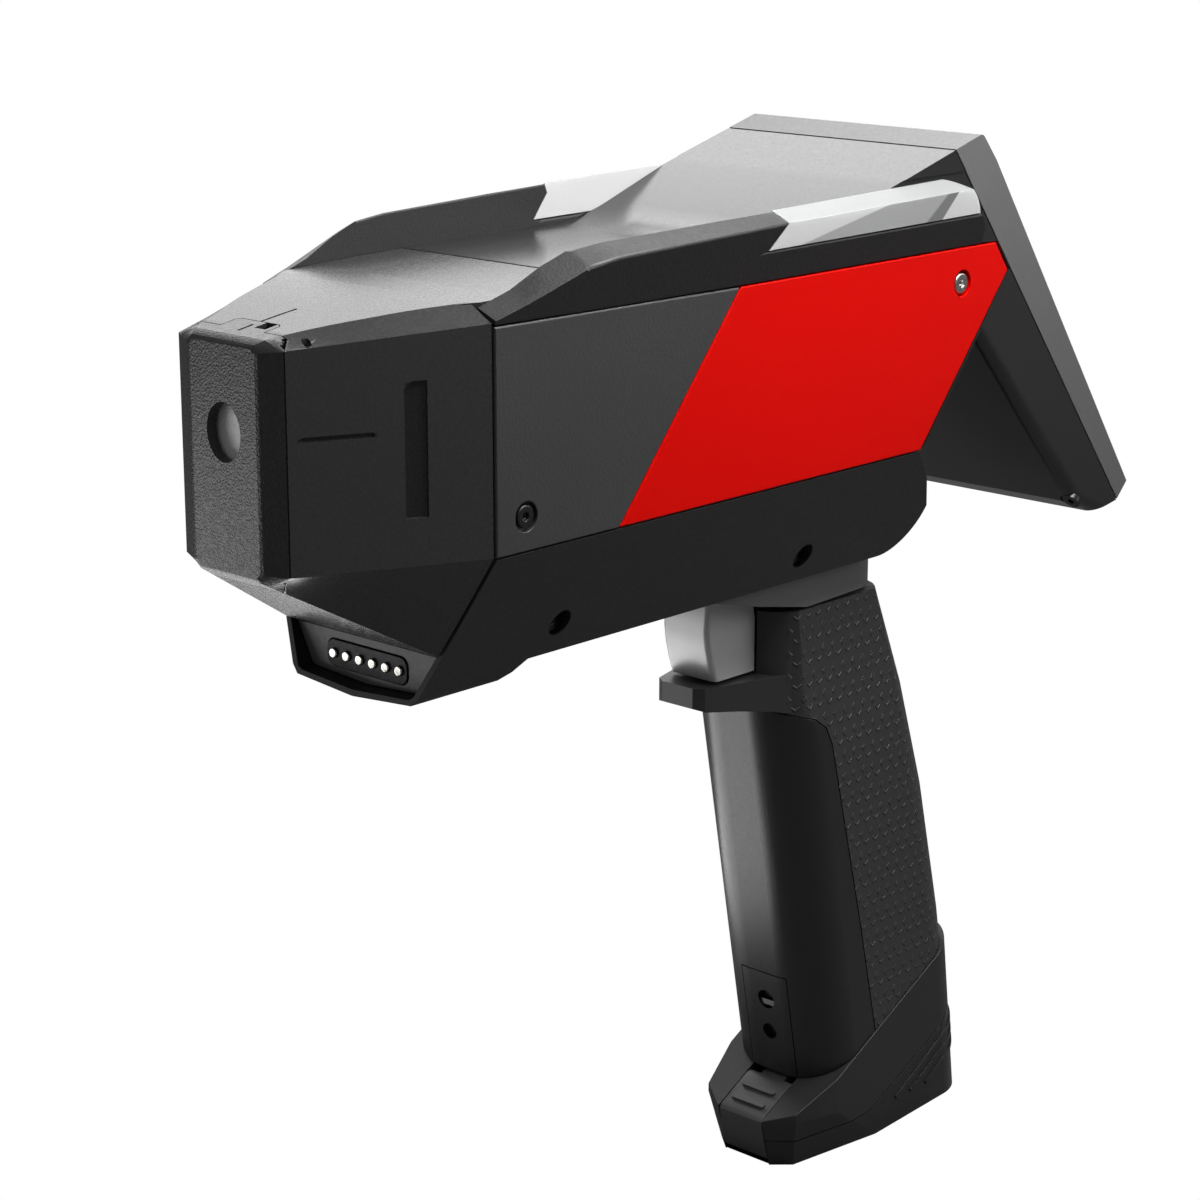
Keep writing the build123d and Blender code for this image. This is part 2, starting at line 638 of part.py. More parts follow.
# ---------------------------------------------------------------- neck collar
COLLAR = [(149.5, LOWER_FLOOR), (151.5, -67.5), (170, -72), (191, -76.2), (228.5, -75.0),
          (228.5, LOWER_FLOOR)]
with BuildPart() as neck_collar:
    with BuildSketch(Plane.XY.offset(-80)):
        with BuildLine():
            Polyline((149.0, -18), (227.0, -18), (227.0, 18), (149.0, 18), close=True)
        make_face()
        fillet(vertices().group_by(Axis.X)[-1], radius=14)
        fillet(vertices().group_by(Axis.X)[0], radius=6)
    extrude(amount=80 + LOWER_FLOOR)
    add(across(COLLAR, -30, 30), mode=Mode.INTERSECT)
    # bearing ears beside the trigger, standing up inside the housing
    for side in (-1, 1):
        low, high = sorted((side * 9.0, side * 12.4))
        add(block((165.0, low, LOWER_FLOOR), (177.0, high, -54.0)))
    add(block((153.5, -8.7, -80), (183.6, 8.7, -60)), mode=Mode.SUBTRACT)
    add(block((192.5, -7.5, -80), (201.5, 7.5, -60)), mode=Mode.SUBTRACT)
    add(drill([(*TRIGGER_PIN, 20)], 1.5, 40, 1), mode=Mode.SUBTRACT)
save("neck_collar", neck_collar)

# ---------------------------------------------------------------- trigger
TRIGGER = [(167.0, -60.5), (162.6, -66.5), (160.6, -72.0), (160.0, -79.6), (160.7, -84.5),
           (162.0, -89.5), (163.6, -94.0), (180.0, -94.0), (180.0, -79.0), (177.5, -66.0),
           (175.2, -60.5)]
with BuildPart() as trigger:
    add(across(TRIGGER, -TRIGGER_HALF, TRIGGER_HALF))
    fillet([e for e in trigger.edges()
            if abs(e.center().Y) > 8 and e.center().X < 163.2 and -93.9 < e.center().Z < -67],
           radius=1.6)
    with BuildSketch(Plane.XZ):
        with Locations(TRIGGER_PIN):
            Circle(4.6)
    extrude(amount=4.4, both=True)
    # hollow behind, open to the rear
    add(across([(164.5, -74), (165.6, -84), (167.4, -91.6), (181, -91.6), (181, -74)], -6.2, 6.2),
        mode=Mode.SUBTRACT)
    add(block((160, -9, -64.6), (182, -4.4, -50)), mode=Mode.SUBTRACT)
    add(block((160, 4.4, -64.6), (182, 9, -50)), mode=Mode.SUBTRACT)
    add(drill([(*TRIGGER_PIN, 20)], 1.55, 40, 1), mode=Mode.SUBTRACT)
save("trigger", trigger)

with BuildPart() as trigger_pin:
    add(drill([(*TRIGGER_PIN, 12.4)], 1.5, 24.8, 1))
save("trigger_pin", trigger_pin)

with BuildPart() as trigger_spring:
    # the closed coil around the pin, beside the trigger's hub
    with BuildSketch(Plane(origin=(TRIGGER_PIN[0], 6.4, TRIGGER_PIN[1]), z_dir=(0, 1, 0))):
        Circle(3.4)
        Circle(2.5, mode=Mode.SUBTRACT)
    extrude(amount=1.8, both=True)
save("trigger_spring", trigger_spring)

# ---------------------------------------------------------------- grip
# Edge lines seen from the side, each from its top to its bottom point (x, z); the corners
# along them are rounded by FRONT_R and REAR_R.
GRIP_TOP = -76.7
GRIP_HALF = 20.0
FRONT_R = 15.0
REAR_R = 13.0
GRIP_FRONT = [(179.5, GRIP_TOP), (179.5, -102.0), (203.0, -230.0)]
GRIP_REAR = [(227.6, GRIP_TOP), (240.0, -106.5), (251.0, -140.0), (261.2, -182.0),
             (270.2, -230.0)]


def rounded_side(start, end, radius, half, facing, inset):
    """A long bar with one rounded side along a line from start to end; facing is -1 or 1."""
    run, drop = end[0] - start[0], start[1] - end[1]
    edge = Plane(origin=(start[0], 0, start[1]), x_dir=(facing * drop, 0, facing * run),
                 z_dir=(run, 0, -drop))
    with BuildPart() as bar:
        with BuildSketch(edge):
            with Locations((-inset - 100, 0)):
                Rectangle(200, 2 * (half - inset))
            fillet(vertices().group_by(Axis.X)[-1], radius=radius - inset)
        extrude(amount=240, both=True)
    return bar.part


def grip_form(inset):
    """The grip's body as what all its edge bars share, drawn in by the inset."""
    with BuildPart() as form:
        add(block((160, -30, -235), (290, 30, GRIP_TOP)))
        for start, end in zip(GRIP_FRONT, GRIP_FRONT[1:]):
            add(rounded_side(start, end, FRONT_R, GRIP_HALF, -1, inset), mode=Mode.INTERSECT)
        for start, end in zip(GRIP_REAR, GRIP_REAR[1:]):
            add(rounded_side(start, end, REAR_R, GRIP_HALF, 1, inset), mode=Mode.INTERSECT)
        # narrower towards the neck
        waist = both_yz([(18.0 - inset, GRIP_TOP), (30.0 - inset, -330.0)])
        add(rearward(waist, 150, 300), mode=Mode.INTERSECT)
    return form.part


outer_grip = grip_form(0)
inner_grip = grip_form(SKIN)
BELOW_FOOT_PLANE = [(150, foot_plane(150)), (300, foot_plane(300)), (300, -260), (150, -260)]
below_foot = across(BELOW_FOOT_PLANE, -40, 40)
TRIGGER_ROOM = [(150, SHELF_TOP), (185.6, SHELF_TOP), (183.6, -76), (150, -76)]
trigger_room = across(TRIGGER_ROOM, -9.0, 9.0)

grip_axis = Plane(origin=(205.0, 0, -111), x_dir=(cos(radians(10.48)), 0, sin(radians(10.48))),
                  z_dir=(sin(radians(10.48)), 0, -cos(radians(10.48))))
well = BATTERY[0] + 0.6, BATTERY[1] + 0.6, BATTERY[2] + 0.3
HOOK_SLOT = [(204.0, -218.6), (204.0, -214.6), (208.5, -214.6), (208.5, -218.6)]
with BuildPart() as grip_frame:
    add(inner_grip)
    add(below_foot, mode=Mode.SUBTRACT)
    with BuildSketch(grip_axis.offset(BATTERY_TOP - 0.5)):
        RectangleRounded(*well)
    extrude(amount=150, mode=Mode.SUBTRACT)
    add(trigger_room, mode=Mode.SUBTRACT)
    # wiring passage, switch pocket and catch for the latch hook
    add(block((192.5, -7.5, -100), (201.5, 7.5, -70)), mode=Mode.SUBTRACT)
    add(across([(183.0, -90), (183.0, -80), (192.6, -80), (192.6, -90)], -5.2, 5.2),
        mode=Mode.SUBTRACT)
    add(across(HOOK_SLOT, -4.6, 4.6), mode=Mode.SUBTRACT)
    with BuildSketch(grip_axis.offset(BATTERY_TOP - 3.5)):
        with Locations((-8, 0)):
            Rectangle(12, 18)
    extrude(amount=4.0, mode=Mode.SUBTRACT)
save("grip_frame", grip_frame)

# The front shell stops at this line; the soft rubber wraps the rest.
SHELL_EDGE = [(181.0, -105.2), (193.5, -109.2), (198.2, -112.6), (200.6, -117.5),
              (206.7, -141.0), (215.3, -175.0), (223.7, -211.0), (226.0, -222.0)]
shell_zone = across([*SHELL_EDGE, (226, -260), (150, -260), (150, -104.2)], -40, 40)
rubber_zone = across([(150, -104.0), (181.2, -105.0), (193.6, -108.95), (198.5, -112.4),
                      (200.9, -117.4), (207.0, -140.9), (215.6, -174.9), (224.0, -210.9),
                      (226.3, -222.0), (226.3, -260), (300, -260), (300, -70), (150, -70)],
                     -40, 40)
with BuildPart() as insert_zone:
    add(block((150, -8.3, -240), (210, 8.3, -191)))
with BuildPart() as insert_clear:
    add(block((150, -8.5, -240), (210, 8.5, -190.8)))

with BuildPart() as grip_shell:
    add(outer_grip)
    add(inner_grip, mode=Mode.SUBTRACT)
    add(shell_zone, mode=Mode.INTERSECT)
    add(below_foot, mode=Mode.SUBTRACT)
    add(insert_clear.part, mode=Mode.SUBTRACT)
save("grip_shell", grip_shell)

with BuildPart() as strap_anchor:
    add(outer_grip)
    add(inner_grip, mode=Mode.SUBTRACT)
    add(insert_zone.part, mode=Mode.INTERSECT)
    add(below_foot, mode=Mode.SUBTRACT)
    for height, radius in ((-201.2, 3.0), (-212.2, 2.5)):
        with BuildSketch(Plane(origin=(190, 0, height), x_dir=(0, 1, 0), z_dir=(1, 0, GRIP_LEAN))):
            Circle(radius)
        extrude(amount=20, mode=Mode.SUBTRACT)
    # the bar that the strap is tied round
    add(block((198.4, -3.0, -201.8), (200.0, 3.0, -200.2)))
save("strap_anchor", strap_anchor)

SHELF = both([(157.3, 5.5), (159.2, 8.4), (166, 10.4), (176, 13.2), (186, 17.0), (192, 18.4)])
SHELF_SIDE = [(157, SHELF_TOP), (157, -100.6), (159.5, -101.6), (170, -103.0), (181.2, -105.0),
              (190, -107.0), (190, SHELF_TOP)]
with BuildPart() as shelf:
    add(upward(SHELF, -112, SHELF_TOP))
    add(across(SHELF_SIDE, -30, 30), mode=Mode.INTERSECT)

with BuildPart() as grip_rubber:
    add(outer_grip)
    add(rubber_zone, mode=Mode.INTERSECT)
    add(below_foot, mode=Mode.SUBTRACT)
    add(shelf.part)
    add(inner_grip, mode=Mode.SUBTRACT)
    add(trigger_room, mode=Mode.SUBTRACT)
save("grip_rubber", grip_rubber)

with BuildPart() as trigger_switch:
    add(block((186.0, -5.0, -89.6), (192.4, 5.0, -80.4)))
    add(block((184.6, -1.5, -86.5), (186.0, 1.5, -83.5)))
save("trigger_switch", trigger_switch)

# ---------------------------------------------------------------- battery, foot and latch
HOOK_ROOM = [(200.0, -240), (200.0, -212.5), (213.6, -212.5), (213.6, -240)]
with BuildPart() as battery_pack:
    with BuildSketch(grip_axis.offset(BATTERY_TOP)):
        RectangleRounded(*BATTERY)
    extrude(amount=150)
    add(across([(x, z + 0.25) for x, z in BELOW_FOOT_PLANE], -40, 40), mode=Mode.SUBTRACT)
    add(across(HOOK_ROOM, -5.2, 5.2), mode=Mode.SUBTRACT)
    # slots that the blades of the grip run into
    with BuildSketch(grip_axis.offset(BATTERY_TOP - 1)):
        with Locations((-8, -6), (-8, -2), (-8, 2), (-8, 6)):
            Rectangle(9, 1.4)
    extrude(amount=8, mode=Mode.SUBTRACT)
save("battery_pack", battery_pack)

with BuildPart() as battery_contacts:
    with BuildSketch(grip_axis.offset(BATTERY_TOP - 3.5)):
        with Locations((-8, 0)):
            Rectangle(12, 18)
    extrude(amount=3.0)
    with BuildSketch(grip_axis.offset(BATTERY_TOP - 0.5)):
        with Locations((-8, -6), (-8, -2), (-8, 2), (-8, 6)):
            Rectangle(7, 0.8)
    extrude(amount=5.5)
save("battery_contacts", battery_contacts)

# z, then corners: front edge, front flank and start of the straight side
FOOT_HALF = 20.5
FOOT_SECTIONS = (
    (-250.0, 190.6, 8.3, 195.0, 13.2, 231.0),
    (-232.0, 186.2, 8.5, 191.5, 16.8, 206.0),
    (-188.0, 186.0, 8.5, 191.5, 17.0, 206.0),
)
FOOT_REAR = (264.4, -188.0), (272.6, -250.0)
with BuildPart() as foot_form:
    for z, front, front_y, knee, knee_y, straight in FOOT_SECTIONS:
        with BuildSketch(Plane.XY.offset(z)):
            with BuildLine():
                Polyline(*both([(front, front_y), (knee, knee_y), (straight, FOOT_HALF),
                                (280.0, FOOT_HALF)]), close=True)
            make_face()
    loft(ruled=True)
    add(rounded_side(*FOOT_REAR, REAR_R, FOOT_HALF, 1, 0), mode=Mode.INTERSECT)
    add(across([(150, foot_plane(150) - 0.25), (300, foot_plane(300) - 0.25), (300, -150),
                (150, -150)], -40, 40), mode=Mode.SUBTRACT)
    add(across([(150, -249.4), (300, -241.6), (300, -270), (150, -270)], -40, 40),
        mode=Mode.SUBTRACT)

PARTING = [(150, -239.0), (187.2, -238.9), (219.9, -237.2), (222.4, -236.7), (256.5, -220.0),
           (260.5, -215.5), (300, -190.0)]
LATCH_ROOM = [(180, -215), (213.6, -215), (213.6, -228.6), (203.0, -230.4), (198.4, -233.6),
              (199.4, -240.0), (197.6, -245.6), (190.0, -247.4), (180, -247.4)]
latch_room = across(LATCH_ROOM, -LATCH_HALF - 0.3, LATCH_HALF + 0.3)
with BuildPart() as battery_foot:
    add(foot_form.part)
    add(across([*PARTING, (300, -270), (150, -270)], -40, 40), mode=Mode.SUBTRACT)
    add(latch_room, mode=Mode.SUBTRACT)
    add(drill([(*LATCH_PIN, 20)], 1.5, 40, 1), mode=Mode.SUBTRACT)
save("battery_foot", battery_foot)

# three slanting ribs on each rear flank, raised 0.5 mm and running out on the corner
with BuildPart() as foot_ribs:
    for start in (233.8, 241.0, 248.5):
        add(across([(start, -236.3), (start + 45.0, -210.8), (start + 45.6, -211.9),
                    (start + 0.6, -237.4)], -25, 25))
    add(rounded_side(*FOOT_REAR, REAR_R, FOOT_HALF, 1, -0.5), mode=Mode.INTERSECT)
    add(block((200, -14.0, -260), (300, 14.0, -190)), mode=Mode.SUBTRACT)
    add(across([*[(x, z - 0.9) for x, z in PARTING], (300, -150), (150, -150)], -40, 40),
        mode=Mode.SUBTRACT)

with BuildPart() as foot_base:
    add(foot_form.part)
    add(across([*[(x, z - 0.25) for x, z in PARTING], (300, -150), (150, -150)], -40, 40),
        mode=Mode.SUBTRACT)
    add(latch_room, mode=Mode.SUBTRACT)
    add(foot_ribs.part)
    add(drill([(*LATCH_PIN, 10.5)], 1.5, 21, 1), mode=Mode.SUBTRACT)
save("foot_base", foot_base)

LATCH = [(198.6, -225.75), (187.4, -231.7), (186.5, -232.9), (187.3, -238.9), (189.3, -245.2),
         (190.6, -246.1), (194.6, -245.2), (196.3, -241.8), (195.0, -236.4), (193.4, -232.3),
         (199.2, -229.4), (204.6, -227.0), (209.0, -226.0), (210.4, -224.8), (210.4, -215.0),
         (207.4, -215.0), (204.8, -217.0), (204.8, -218.2), (207.8, -218.2), (207.8, -223.0),
         (201.4, -225.2)]
with BuildPart() as battery_latch:
    add(across(LATCH, -LATCH_HALF, LATCH_HALF))
    # the hook is narrower than the pad
    add(block((200.6, -9, -232), (214, -4.2, -212)), mode=Mode.SUBTRACT)
    add(block((200.6, 4.2, -232), (214, 9, -212)), mode=Mode.SUBTRACT)
    for x in (195.2, 190.5):
        with BuildSketch(Plane(origin=(x, 0, foot_plane(x) - 0.5), x_dir=(0, 1, 0),
                               z_dir=(-0.467, 0, 0.884))):
            SlotOverall(12.4, 1.8)
        extrude(amount=1.3)
    add(drill([(*LATCH_PIN, 20)], 1.55, 40, 1), mode=Mode.SUBTRACT)
save("battery_latch", battery_latch)

with BuildPart() as latch_pin:
    add(drill([(*LATCH_PIN, 10.5)], 1.5, 21, 1))
save("latch_pin", latch_pin)

# ---------------------------------------------------------------- fasteners
with BuildPart() as side_screws:
    for side in (-1, 1):
        seat = side * (PANEL_FACE - PANEL_SEAT)
        add(screw(Plane(origin=(SIDE_SCREW[0], seat, SIDE_SCREW[1]), z_dir=(0, side, 0)), 3.0))
save("side_screws", side_screws)

with BuildPart() as accent_screws:
    for side in (-1, 1):
        seat = side * (PANEL_FACE - PANEL_SEAT)
        add(screw(Plane(origin=(RED_SCREW[0], seat, RED_SCREW[1]), z_dir=(0, side, 0)), 2.6))
save("accent_screws", accent_screws)

with BuildPart() as lower_screws:
    for side in (-1, 1):
        for x, z, y in LOWER_SCREWS:
            add(screw(Plane(origin=(x, side * (y - 4.6), z), z_dir=(0, side, 0)), 4.0))
save("lower_screws", lower_screws)

with BuildPart() as tray_screws:
    for side in (-1, 1):
        add(screw(tray_screw(side).offset(-1.8), 5.5))
save("tray_screws", tray_screws)
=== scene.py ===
"""Looks of a handheld XRF analyzer: tapered nose, flat-sided body, leaning display, battery grip.

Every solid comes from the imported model. This file gives each one the finish that the real
moulding has, breaks the edges of most, and sets up a plain studio. Values are in metres, and in
millimetres where a name ends in mm or a comment says so.
"""

import logging
from dataclasses import dataclass
from enum import Enum
from math import atan2, cos, radians, sin
from typing import Sequence

import bpy
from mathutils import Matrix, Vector


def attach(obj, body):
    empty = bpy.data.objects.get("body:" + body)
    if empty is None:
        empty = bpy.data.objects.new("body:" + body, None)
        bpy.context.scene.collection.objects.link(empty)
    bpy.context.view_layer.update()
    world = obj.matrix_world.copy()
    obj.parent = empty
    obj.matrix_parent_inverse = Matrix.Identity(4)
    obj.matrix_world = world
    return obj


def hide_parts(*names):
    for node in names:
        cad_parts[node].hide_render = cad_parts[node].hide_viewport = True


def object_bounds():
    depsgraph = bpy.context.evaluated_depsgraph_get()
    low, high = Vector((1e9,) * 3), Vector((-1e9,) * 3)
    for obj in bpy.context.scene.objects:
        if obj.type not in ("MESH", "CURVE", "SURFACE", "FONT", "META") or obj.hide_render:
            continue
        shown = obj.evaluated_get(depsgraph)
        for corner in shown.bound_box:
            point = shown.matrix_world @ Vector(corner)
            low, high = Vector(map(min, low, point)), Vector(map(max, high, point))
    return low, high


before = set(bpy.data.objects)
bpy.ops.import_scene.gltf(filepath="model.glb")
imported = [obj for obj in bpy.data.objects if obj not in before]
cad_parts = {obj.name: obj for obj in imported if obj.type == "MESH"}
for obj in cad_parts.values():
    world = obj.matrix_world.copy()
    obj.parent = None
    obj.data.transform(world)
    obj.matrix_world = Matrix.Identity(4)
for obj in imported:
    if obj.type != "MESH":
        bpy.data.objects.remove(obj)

LOG = logging.getLogger("analyzer")
MM = 0.001
CAD_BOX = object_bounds()
GIRTH_MAP = "girth"
MERGE = 2e-6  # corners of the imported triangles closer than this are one
FLAT_DEG = 0.4  # neighbouring triangles this level with each other are one face
DRIFT_MM = 38.0  # size of the slow change in a plastic's tone
# hollows whose floor gets painted shade: low and high X, then low and high Z, in millimetres
FINGER_RECESS = (28.4, 33.0, -20.2, 11.6)
SIDE_GROOVE = (5.3, 22.3, -0.35, 0.35)


class Grain(Enum):
    """How the mould's surface was textured."""

    SMOOTH = "polished mould"
    SPARK = "fine spark-eroded grain"
    LEATHER = "pebbled leather grain"


def linear(colour: str, gain: float = 1.0) -> tuple[float, float, float, float]:
    """Turns an sRGB hex colour into linear RGBA.

    Args:
        colour: six hex digits with a leading #.
        gain: brightness factor in linear light.

    Returns:
        Linear red, green, blue and an alpha of one.
    """
    parts = [int(colour[i:i + 2], 16) / 255 for i in (1, 3, 5)]
    lit = [c / 12.92 if c <= 0.04045 else ((c + 0.055) / 1.055) ** 2.4 for c in parts]
    return (*[min(1.0, c * gain) for c in lit], 1.0)


def add_node(tree: bpy.types.NodeTree, kind: str, settings: dict | None = None,
             links: dict | None = None) -> bpy.types.Node:
    """Adds one shader node.

    Args:
        tree: the node tree it goes in.
        kind: the node's type name.
        settings: attributes of the node to set.
        links: input name or number to a value, or to an output socket to link.

    Returns:
        The new node.
    """
    made = tree.nodes.new(kind)
    for name, value in (settings or {}).items():
        setattr(made, name, value)
    for name, value in (links or {}).items():
        if isinstance(value, bpy.types.NodeSocket):
            tree.links.new(value, made.inputs[name])
        else:
            made.inputs[name].default_value = value
    return made


def new_material(name: str) -> tuple[bpy.types.Material, bpy.types.NodeTree, bpy.types.Node]:
    """Starts a material with only its output node.

    Args:
        name: the material's name.

    Returns:
        The material, its node tree and the output node.
    """
    made = bpy.data.materials.new(name)
    made.use_nodes = True
    made.node_tree.nodes.clear()
    return made, made.node_tree, add_node(made.node_tree, "ShaderNodeOutputMaterial")


@dataclass(frozen=True)
class MouldedPlastic:
    """Injection-moulded plastic: dull depth of colour, a soft sheen, a grain from the mould.

    The flake is the share of metal in a lacquer, the tint colours the sheen, and the hollows are
    places whose floor is painted darker, as painted shade.
    """

    name: str
    colour: str
    roughness: float = 0.45
    grain: Grain = Grain.SPARK
    grain_mm: float = 0.5
    depth_mm: float = 0.03
    mottle: float = 0.12
    coat: float = 0.0
    ior: float = 1.5
    flake: float = 0.0
    tint: tuple[float, float, float, float] = (1.0, 1.0, 1.0, 1.0)
    shaded_hollows: tuple[tuple[float, float, float, float], ...] = ()

    def material(self) -> bpy.types.Material:
        """Builds the plastic's material from its colour, grain and sheen."""
        made, tree, out = new_material(self.name)
        place = add_node(tree, "ShaderNodeTexCoord").outputs["Object"]
        # slow drift in tone, as flow in the mould and light handling leave it
        drift = add_node(tree, "ShaderNodeTexNoise", links={
            "Vector": place, "Scale": 1 / (DRIFT_MM * MM), "Detail": 4.0, "Roughness": 0.6})
        fine = add_node(tree, "ShaderNodeTexNoise", links={
            "Vector": place, "Scale": 1 / (self.grain_mm * 2.4 * MM), "Detail": 3.0,
            "Roughness": 0.65})
        tone = add_node(tree, "ShaderNodeMix", {"data_type": "RGBA"}, {
            "Factor": drift.outputs["Fac"],
            6: linear(self.colour, 1 - self.mottle), 7: linear(self.colour, 1 + self.mottle)})
        shade = tone.outputs[2]
        # painted shade: each hollow's floor is painted at 0.4 of the colour
        for hollow in self.shaded_hollows:
            painted_shade = add_node(tree, "ShaderNodeMix", {"data_type": "RGBA"}, {
                "Factor": self.inside(tree, place, hollow), 6: shade,
                7: linear(self.colour, 0.4)})
            shade = painted_shade.outputs[2]
        height = self.relief(tree, place, fine)
        spread = add_node(tree, "ShaderNodeMapRange", links={
            "Value": fine.outputs["Fac"], "From Min": 0.3, "From Max": 0.7,
            "To Min": max(0.05, self.roughness - 0.05), "To Max": self.roughness + 0.06})
        bump = add_node(tree, "ShaderNodeBump", links={
            "Strength": 1.0, "Distance": self.depth_mm * MM, "Height": height})
        skin = add_node(tree, "ShaderNodeBsdfPrincipled", links={
            "Base Color": shade, "Roughness": spread.outputs["Result"],
            "IOR": self.ior, "Normal": bump.outputs["Normal"]})
        skin.inputs["Metallic"].default_value = self.flake
        skin.inputs["Specular Tint"].default_value = self.tint
        skin.inputs["Coat Weight"].default_value = self.coat
        skin.inputs["Coat Roughness"].default_value = 0.22
        tree.links.new(skin.outputs["BSDF"], out.inputs["Surface"])
        return made

    def inside(self, tree: bpy.types.NodeTree, place: bpy.types.NodeSocket,
               hollow: tuple[float, float, float, float], rim_mm: float = 0.1
               ) -> bpy.types.NodeSocket:
        """Tells where a shallow hollow lies, whose floor gets painted shade.

        Args:
            tree: the material's node tree.
            place: object coordinates.
            hollow: low and high X, then low and high Z, in millimetres.
            rim_mm: half the width over which its painted shade begins.

        Returns:
            The socket that is 1 in the hollow and 0 outside.
        """
        axes = add_node(tree, "ShaderNodeSeparateXYZ", links={"Vector": place})
        shares = []
        for axis, low, high in (("X", *hollow[:2]), ("Z", *hollow[2:])):
            middle, half = (low + high) / 2, (high - low) / 2
            off = add_node(tree, "ShaderNodeMath", {"operation": "SUBTRACT"}, {
                0: axes.outputs[axis], 1: middle * MM})
            away = add_node(tree, "ShaderNodeMath", {"operation": "ABSOLUTE"}, {
                0: off.outputs[0]})
            share = add_node(tree, "ShaderNodeMapRange", links={
                "Value": away.outputs[0], "From Min": (half + rim_mm) * MM,
                "From Max": (half - rim_mm) * MM})
            shares.append(share.outputs["Result"])
        both = add_node(tree, "ShaderNodeMath", {"operation": "MULTIPLY"},
                        dict(enumerate(shares)))
        return both.outputs[0]

    def relief(self, tree: bpy.types.NodeTree, place: bpy.types.NodeSocket,
               fine: bpy.types.Node) -> bpy.types.NodeSocket:
        """Makes the height of the mould's grain.

        Args:
            tree: the material's node tree.
            place: object coordinates.
            fine: a noise at about the grain's size.

        Returns:
            The socket that holds the height, from 0 to 1.
        """
        if self.grain is not Grain.LEATHER:
            return fine.outputs["Fac"]
        pebbles = add_node(tree, "ShaderNodeTexVoronoi", {"feature": "SMOOTH_F1"}, {
            "Vector": place, "Scale": 1 / (self.grain_mm * MM), "Smoothness": 0.35,
            "Randomness": 0.95})
        rounded = add_node(tree, "ShaderNodeMapRange", {"interpolation_type": "SMOOTHSTEP"}, {
            "Value": pebbles.outputs["Distance"], "From Min": 0.15, "From Max": 0.75,
            "To Min": 1.0, "To Max": 0.0})
        both = add_node(tree, "ShaderNodeMath", {"operation": "MULTIPLY_ADD"}, {
            0: fine.outputs["Fac"], 1: 0.25, 2: rounded.outputs["Result"]})
        return both.outputs[0]


